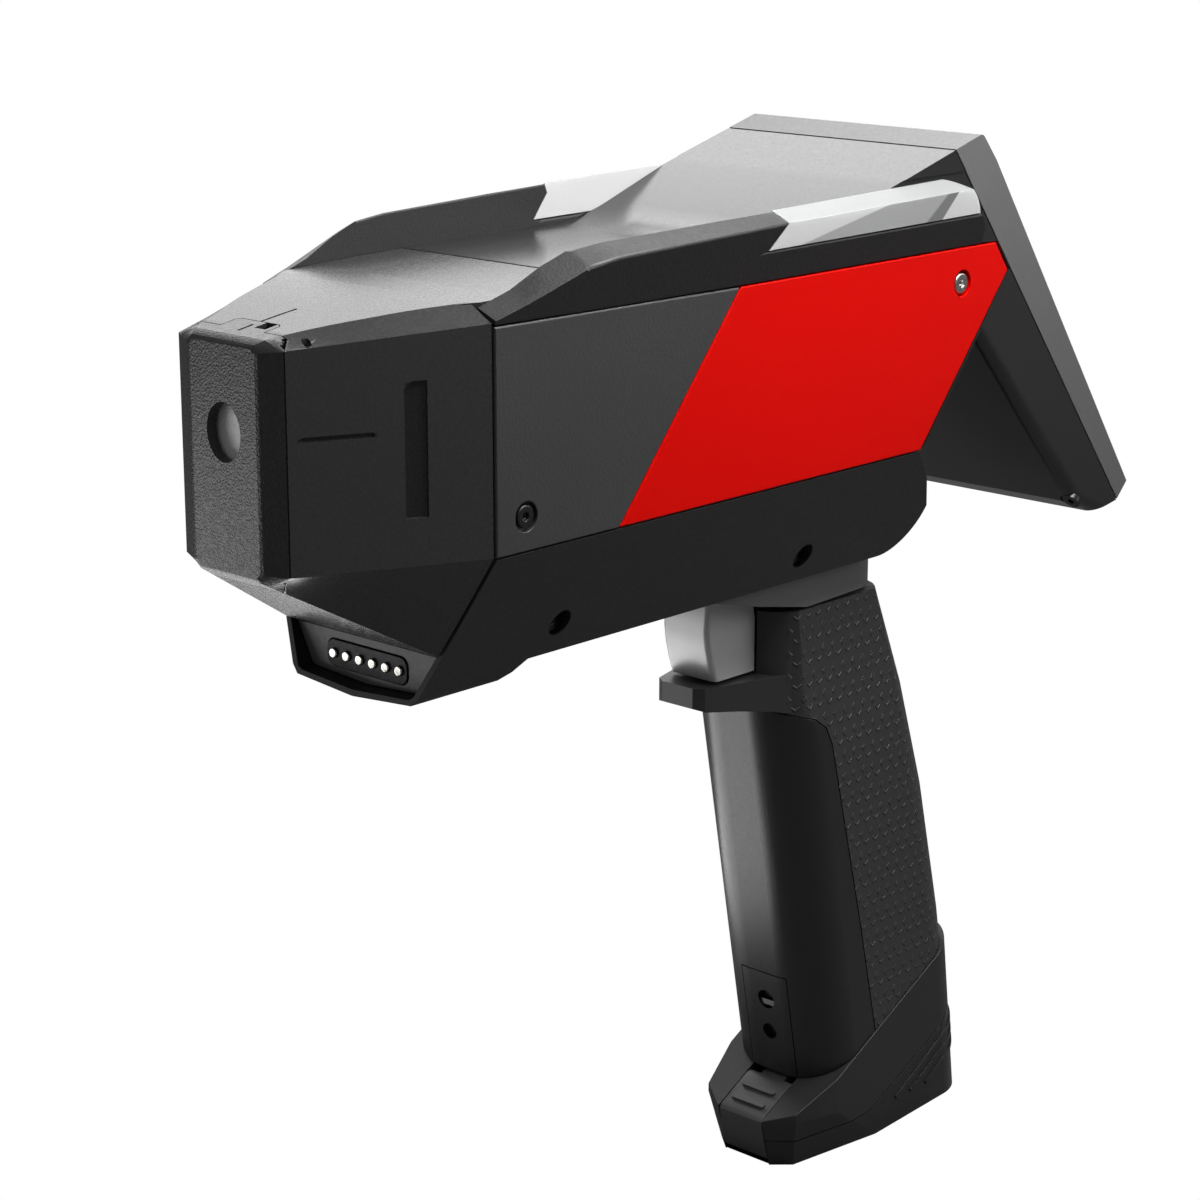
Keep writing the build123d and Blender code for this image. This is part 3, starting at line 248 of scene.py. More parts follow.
@dataclass(frozen=True)
class GripRubber:
    """Soft overmoulded rubber: nearly no gloss, small raised lozenges with chevrons between."""

    name: str = "soft_overmoulded_rubber"
    colour: str = "#2b2b2b"
    column_mm: float = 4.35
    row_mm: float = 6.6
    relief_mm: float = 0.4
    plain_to_mm: float = 184.0
    full_from_mm: float = 187.0

    def material(self) -> bpy.types.Material:
        """Builds the rubber, its pattern laid on the map that runs round the grip."""
        made, tree, out = new_material(self.name)
        place = add_node(tree, "ShaderNodeTexCoord").outputs["Object"]
        girth = add_node(tree, "ShaderNodeUVMap", {"uv_map": GIRTH_MAP})
        axes = add_node(tree, "ShaderNodeSeparateXYZ", links={"Vector": girth.outputs[0]})
        spot = add_node(tree, "ShaderNodeSeparateXYZ", links={"Vector": place})
        pattern = self.pattern(tree, axes.outputs["X"], axes.outputs["Y"])
        # the shelf under the trigger is left plain
        plain = add_node(tree, "ShaderNodeMapRange", links={
            "Value": spot.outputs["X"], "From Min": self.plain_to_mm * MM,
            "From Max": self.full_from_mm * MM})
        height = add_node(tree, "ShaderNodeMath", {"operation": "MULTIPLY"}, {
            0: pattern, 1: plain.outputs["Result"]})
        fine = add_node(tree, "ShaderNodeTexNoise", links={
            "Vector": place, "Scale": 1 / (0.6 * MM), "Detail": 3.0})
        worn = add_node(tree, "ShaderNodeMath", {"operation": "MULTIPLY_ADD"}, {
            0: fine.outputs["Fac"], 1: 0.05, 2: height.outputs[0]})
        bump = add_node(tree, "ShaderNodeBump", links={
            "Strength": 1.0, "Distance": self.relief_mm * MM, "Height": worn.outputs[0]})
        # painted light and shade: the raised pattern is painted a little lighter than the ground
        # around it
        tone = add_node(tree, "ShaderNodeMix", {"data_type": "RGBA"}, {
            "Factor": height.outputs[0], 6: linear(self.colour, 0.95),
            7: linear(self.colour, 1.1)})
        skin = add_node(tree, "ShaderNodeBsdfPrincipled", links={
            "Base Color": tone.outputs[2], "Roughness": 0.46, "IOR": 1.5,
            "Normal": bump.outputs["Normal"]})
        tree.links.new(skin.outputs["BSDF"], out.inputs["Surface"])
        return made

    def pattern(self, tree: bpy.types.NodeTree, across: bpy.types.NodeSocket,
                along: bpy.types.NodeSocket) -> bpy.types.NodeSocket:
        """Makes columns of lozenges, with a short chevron between each four.

        Args:
            tree: the material's node tree.
            across: distance round the grip.
            along: height on the grip.

        Returns:
            The socket that holds the height, 1 on a lozenge.
        """
        def math(kind: str, *values: float | bpy.types.NodeSocket) -> bpy.types.NodeSocket:
            """Adds a math node and returns its output."""
            made = add_node(tree, "ShaderNodeMath", {"operation": kind}, dict(enumerate(values)))
            return made.outputs[0]

        def raised(distance: bpy.types.NodeSocket, rim: float, soft: float) -> bpy.types.NodeSocket:
            """Makes a flat top with sloped sides inside a distance, all in millimetres."""
            edge = add_node(tree, "ShaderNodeMapRange", links={
                "Value": distance, "From Min": (rim - soft) * MM, "From Max": rim * MM,
                "To Min": 1.0, "To Max": 0.0})
            return edge.outputs["Result"]

        def centred(value: bpy.types.NodeSocket, pitch_mm: float, shift: float
                    ) -> bpy.types.NodeSocket:
            """Repeats a coordinate at a pitch, measured from the middle of each field."""
            turns = math("ADD", math("DIVIDE", value, pitch_mm * MM), shift)
            return math("MULTIPLY", math("SUBTRACT", math("FRACT", turns), 0.5), pitch_mm * MM)

        u, v = centred(across, self.column_mm, 0.0), centred(along, self.row_mm, 0.0)
        lozenge = raised(math("ADD", math("MULTIPLY", math("ABSOLUTE", u), 1.3),
                              math("ABSOLUTE", v)), 1.45, 0.5)
        u, v = centred(across, self.column_mm, 0.5), centred(along, self.row_mm, 0.5)
        # a chevron: a slanted bar of even width, cut off at both ends
        bar = math("ABSOLUTE", math("SUBTRACT", math("MULTIPLY", math("ABSOLUTE", u), 0.8), v))
        chevron = math("MULTIPLY", raised(bar, 0.55, 0.35),
                       raised(math("ABSOLUTE", u), 1.25, 0.3))
        return math("MAXIMUM", lozenge, math("MULTIPLY", chevron, 0.8))


@dataclass(frozen=True)
class TurnedMetal:
    """Bare turned or rolled metal: sharp bright highlights over fine lines."""

    name: str
    colour: str
    roughness: float = 0.3
    line_mm: float = 0.25

    def material(self) -> bpy.types.Material:
        """Builds the metal with its fine lines."""
        made, tree, out = new_material(self.name)
        place = add_node(tree, "ShaderNodeTexCoord").outputs["Object"]
        lines = add_node(tree, "ShaderNodeTexNoise", links={
            "Vector": place, "Scale": 1 / (self.line_mm * MM), "Detail": 3.0})
        rough = add_node(tree, "ShaderNodeMapRange", links={
            "Value": lines.outputs["Fac"], "From Min": 0.3, "From Max": 0.7,
            "To Min": self.roughness * 0.75, "To Max": self.roughness * 1.3})
        bump = add_node(tree, "ShaderNodeBump", links={
            "Strength": 0.5, "Distance": 0.004 * MM, "Height": lines.outputs["Fac"]})
        skin = add_node(tree, "ShaderNodeBsdfPrincipled", links={
            "Base Color": linear(self.colour), "Metallic": 1.0,
            "Roughness": rough.outputs["Result"], "Normal": bump.outputs["Normal"]})
        tree.links.new(skin.outputs["BSDF"], out.inputs["Surface"])
        return made


@dataclass(frozen=True)
class FrostedAcrylic:
    """Frosted acrylic light guide: milky, painted brighter where its inner facets send light out,
    greyer where they shade it.

    Each facet is a plane: how far it leans back per unit of height, where it meets zero height,
    and how soft its edge is, the last two in millimetres.
    """

    name: str = "frosted_acrylic"
    # tones of painted light and shade: bright where light comes out, greyer behind the front facet,
    # on the facet, on the top and on the inner face
    bright: str = "#eff0f0"
    middle: str = "#bdbebe"
    top: str = "#8c8d8d"
    facet: str = "#8b8c8c"
    inner: str = "#c2c2c2"
    front: tuple[float, float, float] = (4.7, 11.2, 2.0)
    facet_start: tuple[float, float, float] = (0.9, 179.6, 1.2)
    facet_end: tuple[float, float, float] = (0.6, 195.7, 0.8)

    def material(self) -> bpy.types.Material:
        """Builds the acrylic, its painted light and shade following the slanted facets inside it."""
        made, tree, out = new_material(self.name)
        place = add_node(tree, "ShaderNodeTexCoord").outputs["Object"]
        axes = add_node(tree, "ShaderNodeSeparateXYZ", links={"Vector": place})
        etch = add_node(tree, "ShaderNodeTexNoise", links={
            "Vector": place, "Scale": 1 / (0.6 * MM), "Detail": 3.0})
        # painted shade: past the front facet, which leans far back, the guide is painted greyer
        past_front = self.step(tree, axes, *self.front)
        into_facet = self.step(tree, axes, *self.facet_start)
        past_facet = self.step(tree, axes, *self.facet_end)
        tone = self.blend(tree, past_front, linear(self.bright), linear(self.middle))
        # painted shade on the inner facet, and painted light again behind it
        tone = self.blend(tree, into_facet, tone, linear(self.facet))
        tone = self.blend(tree, past_facet, tone, linear(self.bright))
        # painted shade: the face towards the top cover is painted a little greyer than the outer one
        width = add_node(tree, "ShaderNodeMath", {"operation": "ABSOLUTE"}, {0: axes.outputs["Y"]})
        inside = add_node(tree, "ShaderNodeMapRange", links={
            "Value": width.outputs[0], "From Min": 40.5 * MM, "From Max": 41.0 * MM,
            "To Min": 1.0, "To Max": 0.0})
        tone = self.blend(tree, inside.outputs["Result"], tone, linear(self.inner))
        # painted shade: the top lets most of its light through, so it is painted greyer than the
        # flanks
        facing = add_node(tree, "ShaderNodeSeparateXYZ", links={
            "Vector": add_node(tree, "ShaderNodeNewGeometry").outputs["True Normal"]})
        top = add_node(tree, "ShaderNodeMapRange", links={
            "Value": facing.outputs["Z"], "From Min": 0.4, "From Max": 0.7})
        tone = self.blend(tree, top.outputs["Result"], tone, linear(self.top))
        bump = add_node(tree, "ShaderNodeBump", links={
            "Strength": 0.6, "Distance": 0.012 * MM, "Height": etch.outputs["Fac"]})
        skin = add_node(tree, "ShaderNodeBsdfPrincipled", links={
            "Base Color": tone, "Roughness": 0.3, "IOR": 1.49,
            "Subsurface Weight": 0.35, "Subsurface Radius": (1.0, 1.0, 1.0),
            "Subsurface Scale": 1.5 * MM, "Normal": bump.outputs["Normal"]})
        tree.links.new(skin.outputs["BSDF"], out.inputs["Surface"])
        return made

    def step(self, tree: bpy.types.NodeTree, axes: bpy.types.Node, lean: float,
             start_mm: float, soft_mm: float) -> bpy.types.NodeSocket:
        """Finds what lies behind a plane that leans back with height.

        Args:
            tree: the material's node tree.
            axes: the separated object coordinates.
            lean: how far the plane goes back per unit of height.
            start_mm: where it meets zero height.
            soft_mm: width of the change.

        Returns:
            The socket that is 0 before the plane and 1 behind it.
        """
        down = add_node(tree, "ShaderNodeMath", {"operation": "MULTIPLY_ADD"}, {
            0: axes.outputs["Z"], 1: -lean, 2: axes.outputs["X"]})
        edge = add_node(tree, "ShaderNodeMapRange", {"interpolation_type": "SMOOTHSTEP"}, {
            "Value": down.outputs[0], "From Min": (start_mm - soft_mm / 2) * MM,
            "From Max": (start_mm + soft_mm / 2) * MM})
        return edge.outputs["Result"]

    def blend(self, tree: bpy.types.NodeTree, share: bpy.types.NodeSocket, first: object,
              second: object) -> bpy.types.NodeSocket:
        """Blends two colours.

        Args:
            tree: the material's node tree.
            share: share of the second one.
            first: a colour or a socket.
            second: a colour or a socket.

        Returns:
            The blended colour's socket.
        """
        mix = add_node(tree, "ShaderNodeMix", {"data_type": "RGBA"}, {
            "Factor": share, 6: first, 7: second})
        return mix.outputs[2]


@dataclass(frozen=True)
class ScreenGlass:
    """Cover glass over a dark display, as it looks switched off."""

    name: str = "cover_glass"

    def material(self) -> bpy.types.Material:
        """Builds the glass: nearly black, its gloss a little uneven from wiping."""
        made, tree, out = new_material(self.name)
        place = add_node(tree, "ShaderNodeTexCoord").outputs["Object"]
        smear = add_node(tree, "ShaderNodeTexNoise", links={
            "Vector": place, "Scale": 1 / (22 * MM), "Detail": 3.0})
        rough = add_node(tree, "ShaderNodeMapRange", links={
            "Value": smear.outputs["Fac"], "To Min": 0.03, "To Max": 0.1})
        skin = add_node(tree, "ShaderNodeBsdfPrincipled", links={
            "Base Color": linear("#0b0c0e"), "Roughness": rough.outputs["Result"], "IOR": 1.52})
        tree.links.new(skin.outputs["BSDF"], out.inputs["Surface"])
        return made


CHARCOAL = MouldedPlastic("charcoal_abs_leather_grain", "#2e2e2e", 0.33, Grain.LEATHER, 0.62, 0.03)
# painted shade darkens the finger recess and the side groove of the satin side
SATIN = MouldedPlastic("charcoal_abs_satin_side", "#363636", 0.27, Grain.SPARK, 0.4, 0.003, 0.04,
                       shaded_hollows=(FINGER_RECESS, SIDE_GROOVE))
RAIL = MouldedPlastic("black_abs_leather_grain", "#1a1a1a", 0.46, Grain.LEATHER, 0.7, 0.022, 0.06)
PANEL = MouldedPlastic("charcoal_abs_side_panel", "#333334", 0.36, Grain.LEATHER, 0.8, 0.018)
COVER = MouldedPlastic("satin_charcoal_cover", "#242425", 0.2, Grain.SPARK, 0.35, 0.0012, 0.05)
BEZEL = MouldedPlastic("grey_display_bezel", "#5a5a5b", 0.42, Grain.SPARK, 0.5, 0.012, 0.03)
BLACK = MouldedPlastic("black_spark_grained_nylon", "#1b1b1b", 0.48, Grain.SPARK, 0.45, 0.025)
COLLAR = MouldedPlastic("charcoal_neck_collar", "#5a5a5a", 0.45, Grain.SPARK, 0.45, 0.02)
SHELL = MouldedPlastic("satin_black_grip_shell", "#161616", 0.33, Grain.SPARK, 0.4, 0.01, 0.08)
LATCH = MouldedPlastic("dark_grey_abs_latch", "#3d3d3d", 0.4, Grain.SPARK, 0.45, 0.012, 0.05)
RED = MouldedPlastic("red_painted_panel", "#c60400", 0.38, Grain.SPARK, 0.7, 0.008, 0.03, ior=1.3,
                     tint=(1.0, 0.15, 0.12, 1.0))
SILVER = MouldedPlastic("silver_lacquered_trigger", "#b4b4b5", 0.36, Grain.SPARK, 0.35, 0.01, 0.04,
                        flake=0.25)
FILM = MouldedPlastic("grey_window_film", "#f0f0f0", 0.5, Grain.SMOOTH, 0.6, 0.002, 0.02, flake=0.2)
BUTTON = MouldedPlastic("grey_button", "#4a4a4b", 0.4, Grain.SPARK, 0.4, 0.01)
BOARD = MouldedPlastic("green_solder_mask", "#0d4a24", 0.35, Grain.SPARK, 1.5, 0.03, 0.15)
DARK = MouldedPlastic("matte_black_housing", "#101010", 0.55, Grain.SPARK, 0.4, 0.02)
LAMP_BOARD = MouldedPlastic("white_lamp_board", "#dadada", 0.4, Grain.SPARK, 0.8, 0.01, 0.03)
BLACK_OXIDE = MouldedPlastic("black_oxide_screw", "#0e0e0e", 0.33, Grain.SPARK, 0.3, 0.008)
STAINLESS = TurnedMetal("stainless_steel", "#c4c2be", 0.26)
NICKEL = TurnedMetal("nickel_pin", "#dcdad4", 0.14)
BRASS = TurnedMetal("gilded_brass", "#d8b56a", 0.25)
ALUMINIUM = TurnedMetal("rolled_aluminium", "#c0c2c4", 0.36)


@dataclass(frozen=True)
class Rounding:
    """A wider rounding for the sharp edges that run one way inside one box, in millimetres."""

    low: tuple[float, float, float]
    high: tuple[float, float, float]
    along: tuple[float, float, float]
    width_mm: float
    segments: int = 4
    crease_deg: float = 24.0
    clamp: bool = True

    def holds(self, point: Vector) -> bool:
        """Tells whether a point in metres lies in the box."""
        return all(low <= c / MM <= high for low, c, high in zip(self.low, point, self.high))


@dataclass
class Moulding:
    """A CAD node shown with its edges broken, as they come out of a mould.

    Edges sharper than crease_deg are broken, those sharper than soft_deg stay crisp in the
    shading, and reach is the share of a neighbouring edge that a broken one may take.
    """

    node: str
    body: str
    slot: str
    finish: object
    edge_mm: float = 0.35
    segments: int = 3
    crease_deg: float = 28.0
    reach: float = 0.45
    roundings: tuple[Rounding, ...] = ()
    soft_deg: float = 28.0

    def build(self) -> bpy.types.Object:
        """Copies the node's surface, rounds its edges and puts the finish on it.

        Returns:
            The finished piece.
        """
        bpy.ops.object.select_all(action="DESELECT")
        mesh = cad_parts[self.node].data.copy()
        mesh.materials.clear()
        piece = bpy.data.objects.new(f"{self.node}_moulded", mesh)
        bpy.context.scene.collection.objects.link(piece)
        piece.select_set(True)
        bpy.context.view_layer.objects.active = piece
        bpy.ops.object.mode_set(mode="EDIT")
        bpy.ops.mesh.select_all(action="SELECT")
        bpy.ops.mesh.remove_doubles(threshold=MERGE)
        bpy.ops.mesh.dissolve_limited(angle_limit=radians(FLAT_DEG),
                                      use_dissolve_boundaries=False)
        bpy.ops.object.mode_set(mode="OBJECT")
        for rounding in self.roundings:
            self.round_off(piece, rounding)
        if self.edge_mm > 0:
            self.mark_edges(piece.data)
            bevel = piece.modifiers.new("broken_edges", "BEVEL")
            bevel.width = self.edge_mm * MM
            bevel.segments = self.segments
            bevel.limit_method = "WEIGHT"
            bevel.use_clamp_overlap = True
            bpy.ops.object.modifier_apply(modifier=bevel.name)
        bpy.ops.object.shade_smooth_by_angle(angle=radians(self.soft_deg))
        level = piece.modifiers.new("flat_faces_stay_flat", "WEIGHTED_NORMAL")
        level.keep_sharp = True
        bpy.ops.object.modifier_apply(modifier=level.name)
        piece.data.materials.append(finish_of(self.finish))
        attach(piece, self.body)
        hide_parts(self.node)
        LOG.info("moulded %s, %d faces", self.node, len(piece.data.polygons))
        return piece

    def sharp_edges(self, mesh: bpy.types.Mesh, angle_deg: float) -> list[bpy.types.MeshEdge]:
        """Lists the edges between faces that meet at more than an angle.

        Args:
            mesh: the piece's mesh.
            angle_deg: the angle between the two faces' normals.

        Returns:
            The edges.
        """
        normals: dict[tuple[int, int], list[Vector]] = {}
        for face in mesh.polygons:
            for key in face.edge_keys:
                normals.setdefault(key, []).append(face.normal)
        limit = cos(radians(angle_deg))
        return [edge for edge in mesh.edges if len(normals.get(edge.key, ())) == 2
                and normals[edge.key][0].dot(normals[edge.key][1]) < limit]

    def mark_edges(self, mesh: bpy.types.Mesh) -> None:
        """Gives each sharp edge the share of the full rounding that its surroundings allow.

        Args:
            mesh: the piece's mesh.
        """
        star: dict[int, list[Vector]] = {}
        for edge in mesh.edges:
            a, b = edge.vertices
            along = mesh.vertices[b].co - mesh.vertices[a].co
            star.setdefault(a, []).append(along)
            star.setdefault(b, []).append(along)
        weights = [0.0] * len(mesh.edges)
        for edge in self.sharp_edges(mesh, self.crease_deg):
            a, b = edge.vertices
            along = (mesh.vertices[b].co - mesh.vertices[a].co).normalized()
            room = self.edge_mm * MM
            for other in star[a] + star[b]:
                if other.length > 0 and abs(along.dot(other)) < 0.8 * other.length:
                    room = min(room, self.reach * other.length)
            weights[edge.index] = room / (self.edge_mm * MM)
        marks = mesh.attributes.new("bevel_weight_edge", "FLOAT", "EDGE")
        marks.data.foreach_set("value", weights)

    def round_off(self, piece: bpy.types.Object, rounding: Rounding) -> None:
        """Rounds the edges inside one box before the rest.

        Args:
            piece: the piece, active and selected.
            rounding: the box, the width and the steps.
        """
        mesh = piece.data
        for item in (*mesh.vertices, *mesh.edges, *mesh.polygons):
            item.select = False
        chosen = []
        for edge in self.sharp_edges(mesh, rounding.crease_deg):
            first, last = (mesh.vertices[v].co for v in edge.vertices)
            run = (last - first).normalized()
            if rounding.holds(first) and rounding.holds(last) and abs(
                    run.dot(Vector(rounding.along))) > 0.7:
                chosen.append(edge)
        for edge in chosen:
            edge.select = True
        bpy.context.tool_settings.mesh_select_mode = (False, True, False)
        bpy.ops.object.mode_set(mode="EDIT")
        bpy.ops.mesh.bevel(offset=rounding.width_mm * MM, segments=rounding.segments,
                           affect="EDGES", clamp_overlap=rounding.clamp, loop_slide=False)
        bpy.ops.object.mode_set(mode="OBJECT")
        LOG.info("rounded %d edges of %s", len(chosen), self.node)


_MADE: dict[str, bpy.types.Material] = {}


def finish_of(finish: object) -> bpy.types.Material:
    """Builds a finish once and hands the same material out after that.

    Args:
        finish: any of the finishes above.

    Returns:
        Its material.
    """
    if finish.name not in _MADE:
        _MADE[finish.name] = finish.material()
    return _MADE[finish.name]


def paint(finish: object, *nodes: str) -> None:
    """Gives CAD nodes whose shape is shown as it is their finish.

    Args:
        finish: the finish to put on them.
        nodes: names of the CAD nodes.
    """
    for name in nodes:
        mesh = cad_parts[name].data
        mesh.materials.clear()
        mesh.materials.append(finish_of(finish))
        LOG.info("finished %s", name)


# height and distance back of the rubber's rear line, from the top down, in millimetres
GRIP_BACK = ((-76.7, 227.6), (-106.5, 240.0), (-140.0, 251.0), (-182.0, 261.2), (-230.0, 270.2))


def map_girth(piece: bpy.types.Object) -> None:
    """Lays a map on the rubber: distance round the grip across it, height up it.

    Args:
        piece: the rubber.
    """
    mesh = piece.data
    chart = mesh.uv_layers.new(name=GIRTH_MAP)
    corner, half = 13 * MM, 7 * MM
    for loop in mesh.loops:
        x, y, z = mesh.vertices[loop.vertex_index].co
        for (high, back_high), (low, back_low) in zip(GRIP_BACK, GRIP_BACK[1:]):
            if z >= low * MM:
                break
        share = min(1.0, max(0.0, (high * MM - z) / ((high - low) * MM)))
        bend = (back_high + (back_low - back_high) * share) * MM - corner
        turn = atan2(max(x - bend, 0.0), max(abs(y) - half, 1e-5))
        across = min(x, bend) + corner * turn + (half - min(abs(y), half))
        chart.data[loop.index].uv = (across, z)


@dataclass
class Studio:
    """Pale floor, white surround, soft lamps and the camera."""

    eye: tuple[float, float, float] = (-0.43115, -0.51974, 0.14168)
    yaw_deg: float = 43.0
    pitch_deg: float = 15.15
    lens_mm: float = 89.7
    floor_z: float = CAD_BOX[0].z

    def camera(self) -> None:
        """Sets the camera up: level, looking down at the instrument's front left."""
        data = bpy.data.cameras.new("camera")
        data.lens, data.sensor_width = self.lens_mm, 36.0
        data.clip_start, data.clip_end = 0.05, 50.0
        seat = bpy.data.objects.new("camera", data)
        bpy.context.scene.collection.objects.link(seat)
        yaw, pitch = radians(self.yaw_deg), radians(self.pitch_deg)
        look = Vector((cos(yaw) * cos(pitch), sin(yaw) * cos(pitch), -sin(pitch)))
        seat.location = self.eye
        seat.rotation_mode = "QUATERNION"
        seat.rotation_quaternion = look.to_track_quat("-Z", "Y")
        bpy.context.scene.camera = seat

    def lamp(self, name: str, spot: Sequence[float], aim: Sequence[float],
             size: tuple[float, float], watts: float) -> None:
        """Hangs one soft box.

        Args:
            name: the lamp's name.
            spot: where it hangs.
            aim: the point it faces.
            size: width and height of its face.
            watts: its power.
        """
        data = bpy.data.lights.new(name, "AREA")
        data.shape, data.size, data.size_y = "RECTANGLE", size[0], size[1]
        data.energy = watts
        lamp = bpy.data.objects.new(name, data)
        bpy.context.scene.collection.objects.link(lamp)
        lamp.location = spot
        lamp.rotation_mode = "QUATERNION"
        lamp.rotation_quaternion = (Vector(aim) - Vector(spot)).to_track_quat("-Z", "Y")
        lamp.visible_camera = False

    def surround(self) -> None:
        """Makes the surround: white to the camera and through clear pieces, dim as a light."""
        world = bpy.data.worlds.new("surround")
        bpy.context.scene.world = world
        world.use_nodes = True
        tree = world.node_tree
        tree.nodes.clear()
        path = add_node(tree, "ShaderNodeLightPath")
        seen = add_node(tree, "ShaderNodeMath", {"operation": "MAXIMUM"}, {
            0: path.outputs["Is Camera Ray"], 1: path.outputs["Is Transmission Ray"]})
        level = add_node(tree, "ShaderNodeMapRange", links={
            "Value": seen.outputs[0], "To Min": 0.22, "To Max": 1.0})
        light = add_node(tree, "ShaderNodeBackground", links={
            "Color": (1.0, 1.0, 1.0, 1.0), "Strength": level.outputs["Result"]})
        out = add_node(tree, "ShaderNodeOutputWorld")
        tree.links.new(light.outputs[0], out.inputs["Surface"])

    def floor(self) -> None:
        """Lays the pale floor: white to the camera everywhere, dim grey in the light it sends on."""
        bpy.ops.object.select_all(action="DESELECT")
        bpy.ops.mesh.primitive_plane_add(size=12, location=(0.2, 0, self.floor_z))
        sheet = bpy.context.active_object
        sheet.name = "floor"
        made, tree, out = new_material("pale_floor")
        path = add_node(tree, "ShaderNodeLightPath")
        white = add_node(tree, "ShaderNodeEmission", links={
            "Color": (1.0, 1.0, 1.0, 1.0), "Strength": 1.0})
        bare = add_node(tree, "ShaderNodeBsdfDiffuse", links={"Color": (0.16, 0.16, 0.16, 1.0)})
        pick = add_node(tree, "ShaderNodeMixShader", links={
            0: path.outputs["Is Camera Ray"], 1: bare.outputs[0], 2: white.outputs[0]})
        tree.links.new(pick.outputs[0], out.inputs["Surface"])
        sheet.data.materials.append(made)

    def build(self) -> None:
        """Sets the whole studio up."""
        scene = bpy.context.scene
        scene.view_settings.view_transform = "Standard"
        self.surround()
        self.floor()
        self.lamp("low_back_box", (1.5, 1.4, 0.42), (0.15, 0, 0.0), (2.4, 0.6), 8)
        self.lamp("high_back_box", (1.1, 1.03, 1.1), (0.15, 0, 0.0), (1.8, 0.9), 15.5)
        self.lamp("side_box", (1.5, -1.3, 0.55), (0.15, 0, 0.0), (1.2, 0.8), 9.5)
        self.lamp("near_box", (0.20, -0.16, 0.28), (0.17, -0.04, 0.0), (0.30, 0.14), 2.3)
        self.lamp("fill_box", (-0.1, -1.3, 1.1), (0.15, 0, -0.05), (0.9, 0.9), 1.5)
        self.lamp("far_card", (-0.60, 0.60, -0.234), (-0.5856, 0.5862, 0.766), (0.42, 0.5), 2.9)
        self.lamp("near_card", (-0.045, 0.315, -0.238), (-0.0306, 0.3012, 0.762), (0.21, 0.59), 1.35)
        LOG.info("studio ready")


@dataclass
class NoseUnit:
    """The measuring nose: cap, housing, window film and the parts behind it."""

    edge_mm: float = 0.0  # the nose keeps the chamfers of its CAD nodes
    soft_deg: float = 12.0

    def build(self) -> None:
        """Finishes the nose."""
        Moulding("front_cap", "housing", "charcoal", CHARCOAL, self.edge_mm).build()
        Moulding("nose_housing", "housing", "charcoal", SATIN, self.edge_mm,
                 soft_deg=self.soft_deg).build()
        paint(FILM, "window_film")
        paint(ALUMINIUM, "window_ring", "detector_cooler", "filter_wheel")
        paint(STAINLESS, "xray_tube", "detector", "wheel_motor")
        paint(DARK, "sample_camera")


@dataclass
class BodyShell:
    """Panels, rails, light guides, lower housing and the electronics they hold."""

    panel_edge_mm: float = 0.2
    rail_edge_mm: float = 0.15
    ridge_mm: float = 0.9  # rounding of the rail's long edges, behind its ramp
    guide_edge_mm: float = 0.4
    housing_edge_mm: float = 0.7
    block_edge_mm: float = 0.15
    pin_tip_mm: float = 0.65
    screw_head_mm: float = 0.9

    def build(self) -> None:
        """Finishes the body."""
        for side in ("left", "right"):
            Moulding(f"side_panel_{side}", "housing", "charcoal", PANEL,
                     self.panel_edge_mm).build()
            Moulding(f"accent_panel_{side}", "housing", "red_panel", RED,
                     self.panel_edge_mm).build()
            Moulding(f"rail_{side}", "housing", "black_plastic", RAIL, self.rail_edge_mm, 2,
                     roundings=(self.ridge(side),)).build()
            Moulding(f"light_guide_{side}", "housing", "frosted", FrostedAcrylic(),
                     self.guide_edge_mm).build()
            paint(LAMP_BOARD, f"lamp_strip_{side}")
        Moulding("lower_housing", "housing", "black_plastic", BLACK,
                 self.housing_edge_mm, 3).build()
        Moulding("contact_plate", "housing", "black_plastic", COLLAR,
                 self.panel_edge_mm).build()
        Moulding("contact_block", "housing", "black_plastic", DARK, self.block_edge_mm).build()
        Moulding("contact_pins", "housing", "bright_pins", NICKEL, self.pin_tip_mm, 4,
                 reach=0.92).build()
        paint(ALUMINIUM, "chassis", "heat_sink")
        paint(DARK, "tube_supply")
        paint(BOARD, "main_board")
        for screws in ("side_screws", "lower_screws"):
            Moulding(screws, "housing", "black_steel", BLACK_OXIDE, self.screw_head_mm,
                     4).build()
        Moulding("accent_screws", "housing", "stainless", STAINLESS, self.screw_head_mm,
                 4).build()

    def ridge(self, side: str) -> Rounding:
        """Gives the rounding of one rail's long edges.

        Args:
            side: left or right.

        Returns:
            The rounding.
        """
        near, far = (-46.0, -33.0) if side == "left" else (33.0, 46.0)
        return Rounding((75.5, near, 24), (240, far, 43), along=(1, 0, 0),
                        width_mm=self.ridge_mm, crease_deg=20.0, clamp=False)


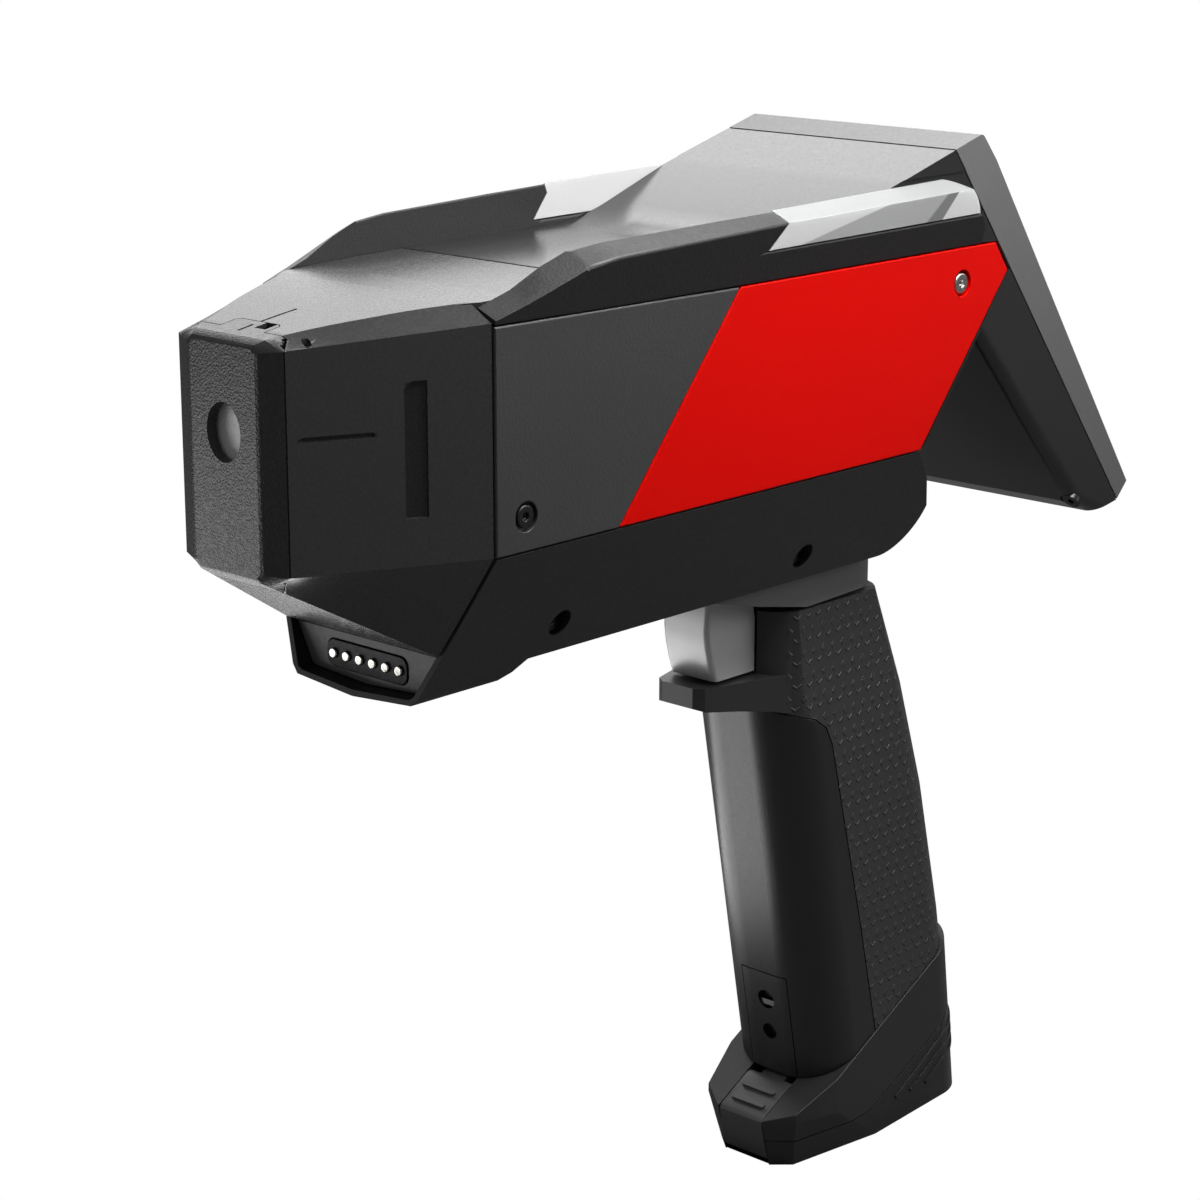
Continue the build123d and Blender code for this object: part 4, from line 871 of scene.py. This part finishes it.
@dataclass
class DisplayUnit:
    """Top cover with the display tray, the bezel, the glass and the power button."""

    edge_mm: float = 1.0
    button_edge_mm: float = 0.15

    def build(self) -> None:
        """Finishes the display."""
        # the cover's front edge, at the seam with the nose
        seam = Rounding((90, -38, 24), (93, 38, 32), along=(0, 1, 0), width_mm=self.edge_mm,
                        segments=1)
        Moulding("rear_housing", "housing", "grey_cover", COVER, self.edge_mm, 3,
                 roundings=(seam,)).build()
        Moulding("display_bezel", "housing", "grey_cover", BEZEL, self.edge_mm, 3).build()
        paint(ScreenGlass(), "display_glass", "display_panel")
        paint(BOARD, "display_board")
        Moulding("power_button", "power_button", "button", BUTTON, self.button_edge_mm).build()
        paint(DARK, "power_switch")
        paint(BLACK_OXIDE, "tray_screws")


@dataclass
class GripUnit:
    """Neck collar, trigger, front shell, rubber and strap anchor."""

    collar_edge_mm: float = 0.6
    shell_edge_mm: float = 0.25
    anchor_edge_mm: float = 0.08
    rubber_edge_mm: float = 0.4
    trigger_edge_mm: float = 0.5

    def build(self) -> None:
        """Finishes the grip."""
        Moulding("neck_collar", "housing", "black_plastic", COLLAR, self.collar_edge_mm, 3).build()
        Moulding("grip_shell", "housing", "black_plastic", SHELL, self.shell_edge_mm).build()
        Moulding("strap_anchor", "housing", "black_plastic", SHELL, self.anchor_edge_mm).build()
        map_girth(Moulding("grip_rubber", "housing", "soft_rubber", GripRubber(),
                           self.rubber_edge_mm).build())
        Moulding("trigger", "trigger", "trigger_silver", SILVER, self.trigger_edge_mm, 3).build()
        paint(DARK, "grip_frame", "trigger_switch")
        paint(STAINLESS, "trigger_pin", "trigger_spring")
        paint(BRASS, "battery_contacts")


@dataclass
class BatteryUnit:
    """Battery pack, its foot and the latch that holds it."""

    pack_edge_mm: float = 0.4
    foot_edge_mm: float = 0.7
    latch_edge_mm: float = 0.3

    def build(self) -> None:
        """Finishes the battery and its foot."""
        Moulding("battery_pack", "battery", "black_plastic", DARK, self.pack_edge_mm).build()
        Moulding("battery_foot", "battery", "black_plastic", BLACK, self.foot_edge_mm, 3).build()
        Moulding("foot_base", "battery", "black_plastic", SHELL, self.foot_edge_mm, 3).build()
        Moulding("battery_latch", "latch", "black_plastic", LATCH, self.latch_edge_mm).build()
        paint(STAINLESS, "latch_pin")


def main() -> None:
    logging.basicConfig(level=logging.INFO, format="%(name)s: %(message)s")
    studio = Studio()
    studio.camera()
    studio.build()
    for unit in (NoseUnit(), BodyShell(), DisplayUnit(), GripUnit(), BatteryUnit()):
        unit.build()


if __name__ == "__main__":
    main()
